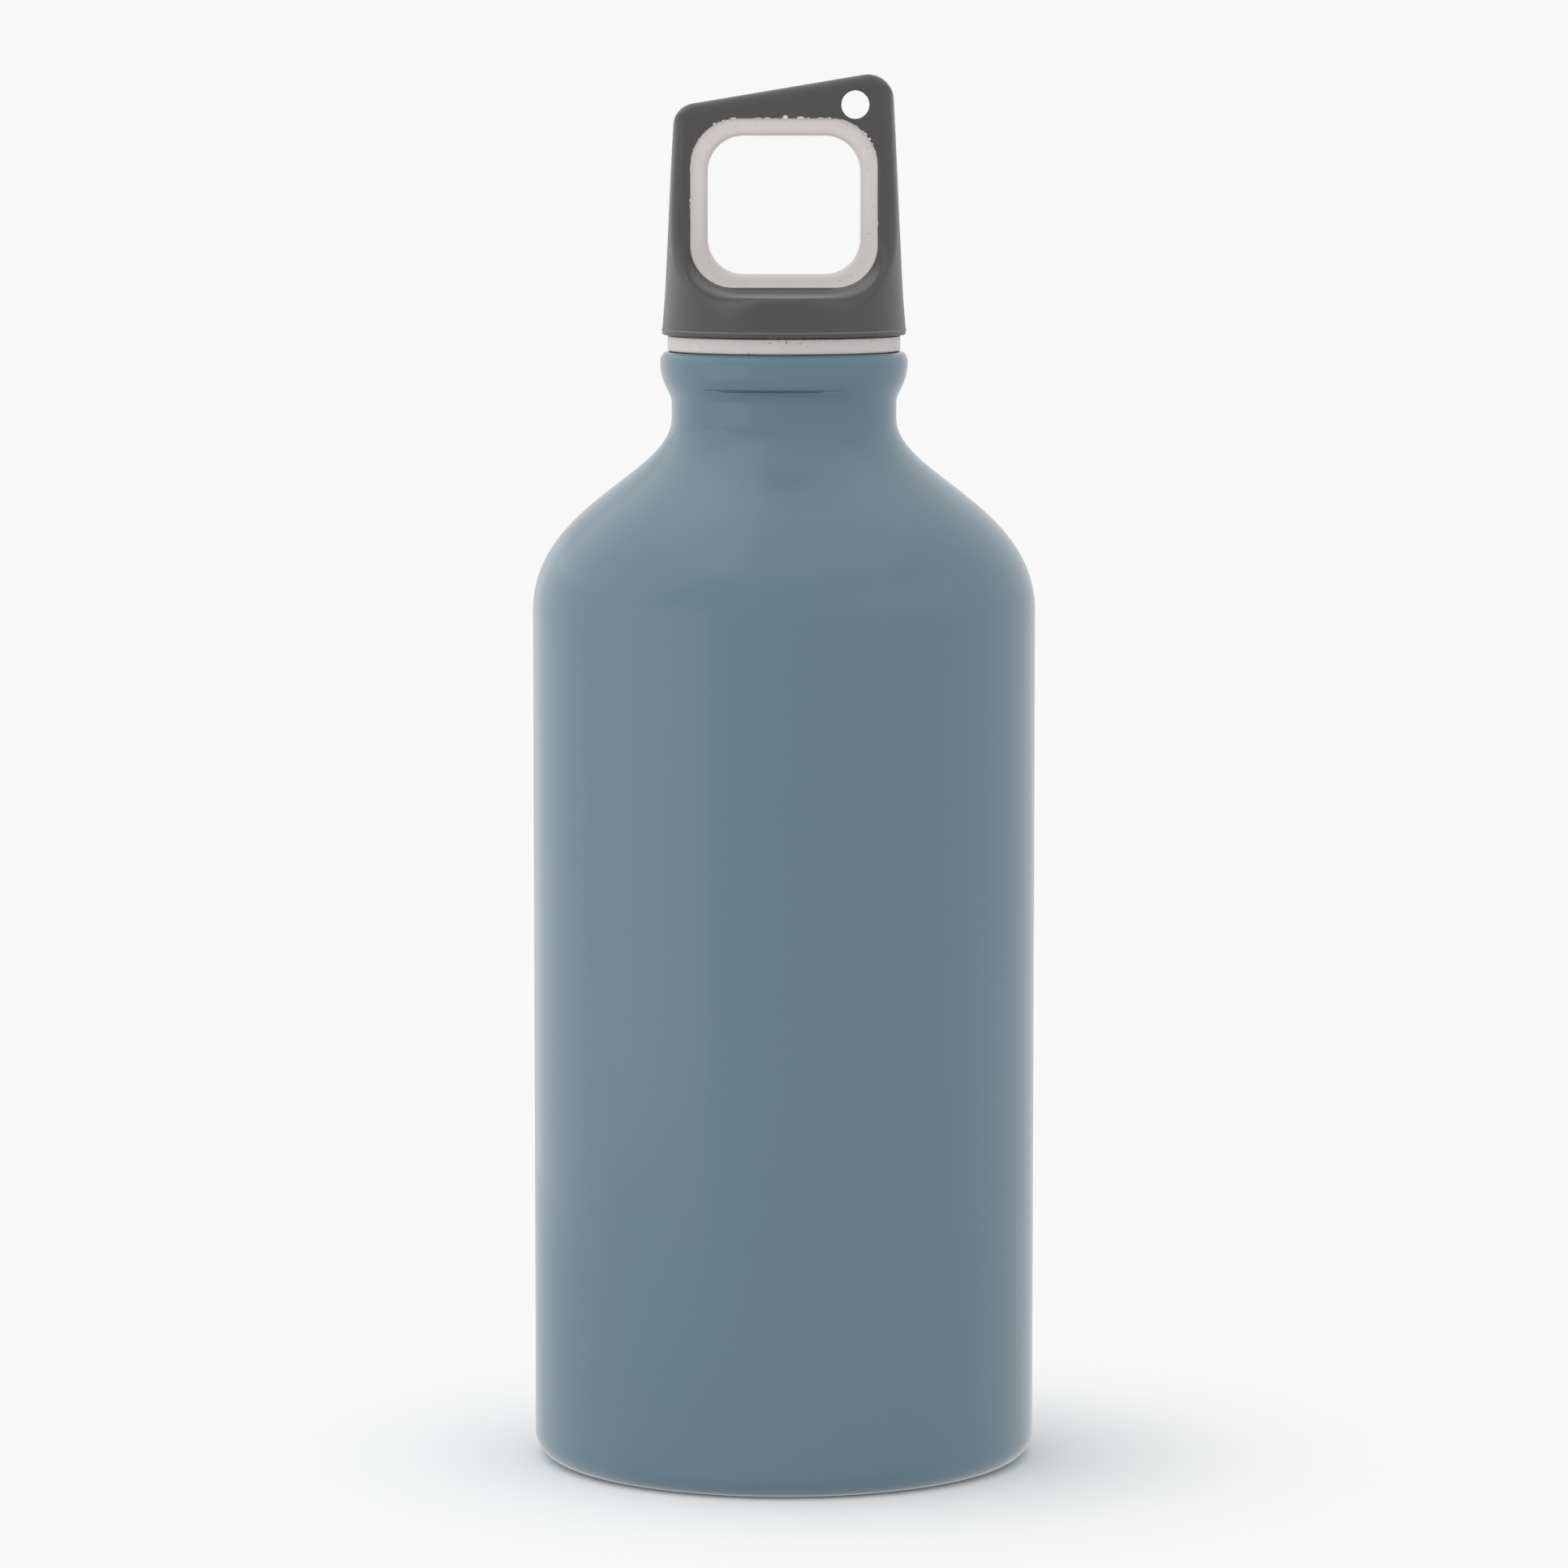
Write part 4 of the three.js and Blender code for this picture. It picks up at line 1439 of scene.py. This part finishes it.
@dataclass
class CapShell:
    """The dark grey moulding over the core: conical skirt, carrying loop and lanyard hole.

    Attributes:
        core: the core that it is moulded over.
        fit: gap to the core.
        edge: rounding of the skirt's lower edge.
        flare: extra spread of the skirt's foot.
        flare_height: height of that flare.
        flare_ease: how softly the flare ends.
        taper: slope of the sides.
        side_flat: depth of the flats that the loop's sides grow towards the top.
        slant: slope of the loop's top, rising towards +X.
        corners: rounding of the loop's low and high corner.
        hole_place: middle of the lanyard hole, in (x, z).
        hole_radius: radius of the lanyard hole.
        hole_edge: rounding of its edge.
        top_wall: between the hole and the loop's top.
        edges: rounding of the skirt's upper edge before the loop, at the hollow's corners and at the sides.
        edge_places: places across of those roundings.
        loop_edge: rounding of the loop's edges.
        loop_rise: heights between which the rounding becomes the loop's.
        skirt_drop: how far the skirt hangs into the gap to the collar.
        parting_rise: from the skirt's lower edge to the parting line of its mould.
        parting_height: height of the flash along that line.
        parting_proud: how far the flash stands out.
        parting_wear: least and most that is added to its edge, as shares of that.
        parting_steps: steps in a turn of the flash.
        seed: where the random draws for the flash start.
        cell: width of a cell of the net that finds its surface.
        evening: how many times the net is evened out.
    """

    core: CapCore
    fit: float = 0.25
    edge: float = 0.3
    flare: float = 0.48
    flare_height: float = 5.9
    flare_ease: float = 2.0
    taper: float = 2.65
    side_flat: float = 0.12
    slant: float = 9.5
    corners: Pair = (3.3, 3.75)
    hole_place: Pair = (10.295, 35.566)
    hole_radius: float = 2.05
    hole_edge: float = 0.35
    top_wall: float = 2.0
    edges: Triple = (1.2, 4.4, 1.5)
    edge_places: Triple = (3.0, 9.0, 14.5)
    loop_edge: float = 2.2
    loop_rise: Pair = (11.0, 20.0)
    skirt_drop: float = 0.12
    parting_rise: float = 0.74
    parting_height: float = 0.24
    parting_proud: float = 0.09
    parting_wear: Pair = (-0.6, 0.2)
    parting_steps: int = 720
    seed: int = 11
    cell: float = 0.3
    evening: int = 4

    def __post_init__(self) -> None:
        """Takes the outer sizes from the frame."""
        low, high = box_of("cap_shell")
        self.lip_top = self.core.lip_top
        self.foot = low[2] - self.lip_top - self.skirt_drop
        self.highest = high[2] - self.lip_top
        self.radius = (high[0] - low[0]) / 2

    def top_at(self, x: np.ndarray | float) -> np.ndarray | float:
        """Height of the loop's slanted top at a place across."""
        slant = math.radians(self.slant)
        rise = (self.hole_radius + self.top_wall) / math.cos(slant)
        return self.hole_place[1] + rise + (x - self.hole_place[0]) * math.tan(slant)

    def cone_at(self, z: np.ndarray | float) -> np.ndarray | float:
        """Radius of the conical skirt and of the loop's sides at a height.

        Args:
            z: the height.

        Returns:
            The radius.
        """
        slope = math.tan(math.radians(self.taper))
        below = self.foot + self.flare_height - z
        spread = self.flare / (self.flare_height - self.edge) - slope
        flared = (below + np.hypot(below, self.flare_ease)) / 2
        return self.radius - self.flare + below * slope + flared * spread

    def front(self, x: np.ndarray, z: np.ndarray) -> np.ndarray:
        """Distance to the loop's outline, seen from the front.

        Args:
            x: place across.
            z: height.

        Returns:
            The distance, negative inside.
        """
        slant = math.radians(self.slant)
        over_top = (z - self.top_at(x)) * math.cos(slant)
        foot = np.array([self.radius + self.side_flat, self.foot - self.fit])
        sides = []
        for side, corner in zip((-1, 1), self.corners):
            height = self.top_at(side * self.core.boss_radius)
            half = self.cone_at(height) - self.side_flat
            along = unit(np.array([half, self.top_at(side * half)]) - foot)
            past_side = (side * x - foot[0]) * along[1] - (z - foot[1]) * along[0]
            lean = -side * along[1] * math.sin(slant) - along[0] * math.cos(slant)
            sides.append(round_both(past_side, over_top, corner, lean))
        return np.maximum(*sides)

    def distance(self, points: np.ndarray) -> np.ndarray:
        """Distance to the shell.

        Args:
            points: places in the cap's own frame.

        Returns:
            The distance at each place, negative inside.
        """
        x, y, z = np.moveaxis(points, -1, 0)
        spread = np.hypot(x, y)
        ring = self.core.ring
        made = round_both(spread - self.cone_at(z), self.foot - z, self.edge)
        made = np.maximum(made, self.front(x, z))
        edge = self.edges[0]
        for (before, after), (near, far) in zip(pairwise(self.edges), pairwise(self.edge_places)):
            edge = edge + (after - before) * eased((np.abs(x) - near) / (far - near))
        low, high = self.loop_rise
        edge = edge + (self.loop_edge - edge) * eased((z - low) / (high - low))
        made = blend_both(made, -ring.hollow.distance(x, y, z), edge)
        hole = np.hypot(x - self.hole_place[0], z - self.hole_place[1]) - self.hole_radius
        made = round_both(made, -hole, self.hole_edge)
        boss = np.maximum(spread - self.core.boss_radius - self.fit, z - self.core.boss_top - self.fit)
        half = ring.half - ring.corners[0] + self.fit
        tang = np.maximum(np.abs(x) - half, np.abs(y) - self.core.tang_depth / 2 - self.fit)
        tang = np.maximum(tang, z - ring.foot)
        seat = pane(x, z, ring.half, ring.foot, ring.top, ring.corners)
        return np.maximum(made, -np.minimum(np.minimum(seat, boss), tang))

    def parting_line(self) -> Surface:
        """The thin ragged flash where the halves of the skirt's mould met.

        Returns:
            Its surface.
        """
        height = self.foot + self.parting_rise
        half = (self.parting_proud, self.parting_height / 2)
        section = arc((self.cone_at(height), height), half, 0, 360, steps=12)[:-1]
        draws = np.random.default_rng(self.seed)
        ragged = draws.uniform(*self.parting_wear, self.parting_steps) * self.parting_proud

        def growth(angles: np.ndarray, radii: np.ndarray, heights: np.ndarray) -> np.ndarray:
            """The ragged edge, on the outside of the flash alone."""
            return ragged * (radii > self.cone_at(height))

        return turned(section, self.parting_steps, growth, ring=True)

    def build(self) -> bpy.types.Object:
        """Builds the shell as one moulding.

        Returns:
            The dressed piece.
        """
        margin = 2 * self.cell
        reach = self.radius + margin
        low = np.array([-reach, -reach, self.foot - margin])
        high = np.array([reach, reach, self.highest + margin])
        moulded = evened(net_over(self.distance, low, high, self.cell), self.distance, self.evening)
        surface = moulded.joined(self.parting_line()).raised(self.lip_top)
        # The flash takes the paler finish, which paints a highlight along the parting line.
        picks = (np.arange(len(surface.faces)) >= len(moulded.faces)).astype(np.int32)
        made = dressed_piece("grey_cap_shell", surface, [GREY_POLYPROPYLENE, HIGHLIT_FLASH_POLYPROPYLENE], picks)
        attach(made, Body.CAP.value)
        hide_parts("cap_shell")
        return made


# Studio


@dataclass(frozen=True)
class Softbox:
    """A soft lamp that faces the bottle.

    Attributes:
        name: its name.
        bearing: angle from the camera's side of the bottle towards its right.
        climb: angle above the horizon.
        distance_m: distance from the bottle's middle.
        width_m: its width.
        height_m: its height.
        radiance: how bright its face is, where 1 is a white surround.
    """

    name: str
    bearing: float
    climb: float
    distance_m: float
    width_m: float
    height_m: float
    radiance: float

    def build(self, target: Vector) -> bpy.types.Object:
        """Hangs the lamp.

        Args:
            target: what it faces.

        Returns:
            The lamp.
        """
        bearing, climb = math.radians(self.bearing), math.radians(self.climb)
        towards = Vector(
            (math.sin(bearing) * math.cos(climb), -math.cos(bearing) * math.cos(climb), math.sin(climb))
        )
        lamp = bpy.data.lights.new(self.name, "AREA")
        lamp.shape = "RECTANGLE"
        lamp.size = self.width_m
        lamp.size_y = self.height_m
        lamp.energy = self.radiance * math.pi * self.width_m * self.height_m
        made = new_object(self.name, lamp)
        made.location = target + towards * self.distance_m
        made.rotation_euler = towards.to_track_quat("Z", "Y").to_euler()
        made.visible_camera = False
        return made


@dataclass
class Studio:
    """The pale floor, the white surround, the lamps and the camera.

    Attributes:
        backdrop: colour that the surround and the far floor show.
        floor_colour: colour of the floor near the bottle.
        floor_radius_m: radius of the floor.
        near_floor_m: how far the floor takes shadows in full.
        far_floor_m: where the floor has become the backdrop.
        surround_light: how bright the surround lights the bottle.
        camera_m: place of the camera.
        aim_m: place that the camera looks at.
        lens: focal length on a sensor of the width below.
        sensor: width of the sensor.
        lamps: the soft lamps.
    """

    backdrop: str = "#F8F8F8"
    floor_colour: str = "#F6F6F6"
    floor_radius_m: float = 4.0
    near_floor_m: float = 0.036
    far_floor_m: float = 0.1
    surround_light: float = 0.92
    camera_m: Triple = (0.0, -1.0, 0.2)
    aim_m: Triple = (0.0, 0.0, 0.09872)
    lens: float = 158.24
    sensor: float = 36.0
    # Each lamp has its name, bearing, climb, distance, width, height and radiance.
    lamps: tuple[Softbox, ...] = (
        Softbox("front_left_panel", -57, 0, 0.3, 0.26, 0.19, 0.4),
        Softbox("back_left_panel", -117, 0, 0.22, 0.33, 0.19, 0.22),
        Softbox("high_left_panel", -103, 50, 0.8, 1.4, 1.0, 0.35),
        Softbox("right_panel", 60, 22, 0.4, 0.4, 0.2, 0.15),
        Softbox("top_panel", 10, 80, 0.8, 1.2, 1.0, 0.15),
    )

    def build_surround(self) -> None:
        """Makes the world: an even white light that shows as the backdrop's colour."""
        world = bpy.data.worlds.new("white_surround")
        tree = bare_tree(world)
        looks = [((1, 1, 1, 1), self.surround_light), (linear(self.backdrop), 1.0)]
        light, shown = (
            add_node(tree, "ShaderNodeBackground", {"Color": colour, "Strength": strength}).outputs[0]
            for colour, strength in looks
        )
        mixed = add_node(tree, "ShaderNodeMixShader", {}, {0: shown_rays(tree), 1: light, 2: shown})
        add_node(tree, "ShaderNodeOutputWorld", {}, {"Surface": mixed.outputs[0]})
        bpy.context.scene.world = world

    def floor_material(self) -> bpy.types.Material:
        """A matt white floor that turns into the backdrop away from the bottle.

        Returns:
            The material.
        """
        material = bpy.data.materials.new("matt_white_floor")
        tree = bare_tree(material)
        place = add_node(tree, "ShaderNodeTexCoord", {}).outputs["Object"]
        away = add_node(tree, "ShaderNodeVectorMath", {"operation": "LENGTH"}, {0: place}).outputs["Value"]
        reach = {"From Min": self.near_floor_m, "From Max": self.far_floor_m}
        soft = {"interpolation_type": "SMOOTHERSTEP"}
        fade = add_node(tree, "ShaderNodeMapRange", soft | reach, {"Value": away}).outputs[0]
        matt = add_node(tree, "ShaderNodeBsdfDiffuse", {"Color": linear(self.floor_colour)}).outputs[0]
        glow = {"Color": linear(self.backdrop), "Strength": 1.0}
        far = add_node(tree, "ShaderNodeEmission", glow).outputs[0]
        mixed = add_node(tree, "ShaderNodeMixShader", {}, {0: shown_rays(tree, fade), 1: matt, 2: far})
        add_node(tree, "ShaderNodeOutputMaterial", {}, {"Surface": mixed.outputs[0]})
        return material

    def build_floor(self) -> bpy.types.Object:
        """Lays the floor.

        Returns:
            The floor.
        """
        rim = arc((0, 0), (self.floor_radius_m, self.floor_radius_m), 0, 360, steps=96)[:-1]
        mesh = bpy.data.meshes.new("studio_floor")
        mesh.from_pydata([(x, y, 0) for x, y in rim], [], [tuple(range(len(rim)))])
        mesh.materials.append(self.floor_material())
        floor = new_object("studio_floor", mesh)
        return floor

    def build_camera(self) -> bpy.types.Object:
        """Sets up the camera.

        Returns:
            The camera.
        """
        data = bpy.data.cameras.new("camera")
        data.lens = self.lens
        data.sensor_width = self.sensor
        camera = new_object("camera", data)
        camera.location = self.camera_m
        aim = Vector(self.aim_m) - Vector(self.camera_m)
        camera.rotation_euler = aim.to_track_quat("-Z", "Y").to_euler()
        bpy.context.scene.camera = camera
        return camera

    def build(self) -> None:
        """Builds the whole studio."""
        bpy.context.scene.view_settings.view_transform = "Standard"
        self.build_surround()
        self.build_floor()
        self.build_camera()
        for lamp in self.lamps:
            lamp.build(Vector(self.aim_m))


def main() -> None:
    """Builds the studio and the bottle, piece by piece."""
    logging.basicConfig(level=logging.INFO, format="%(message)s")
    Studio().build()
    body = BottleBody()
    insert = NeckInsert(body)
    core = CapCore(insert, LinerRing())
    shell = CapShell(core)
    built = [body.build(), insert.build(core.helix_start), CapSeal().build(), core.build(), shell.build()]
    for made in built:
        log.info("%s: %d faces", made.name, len(made.data.polygons))


if __name__ == "__main__":
    main()
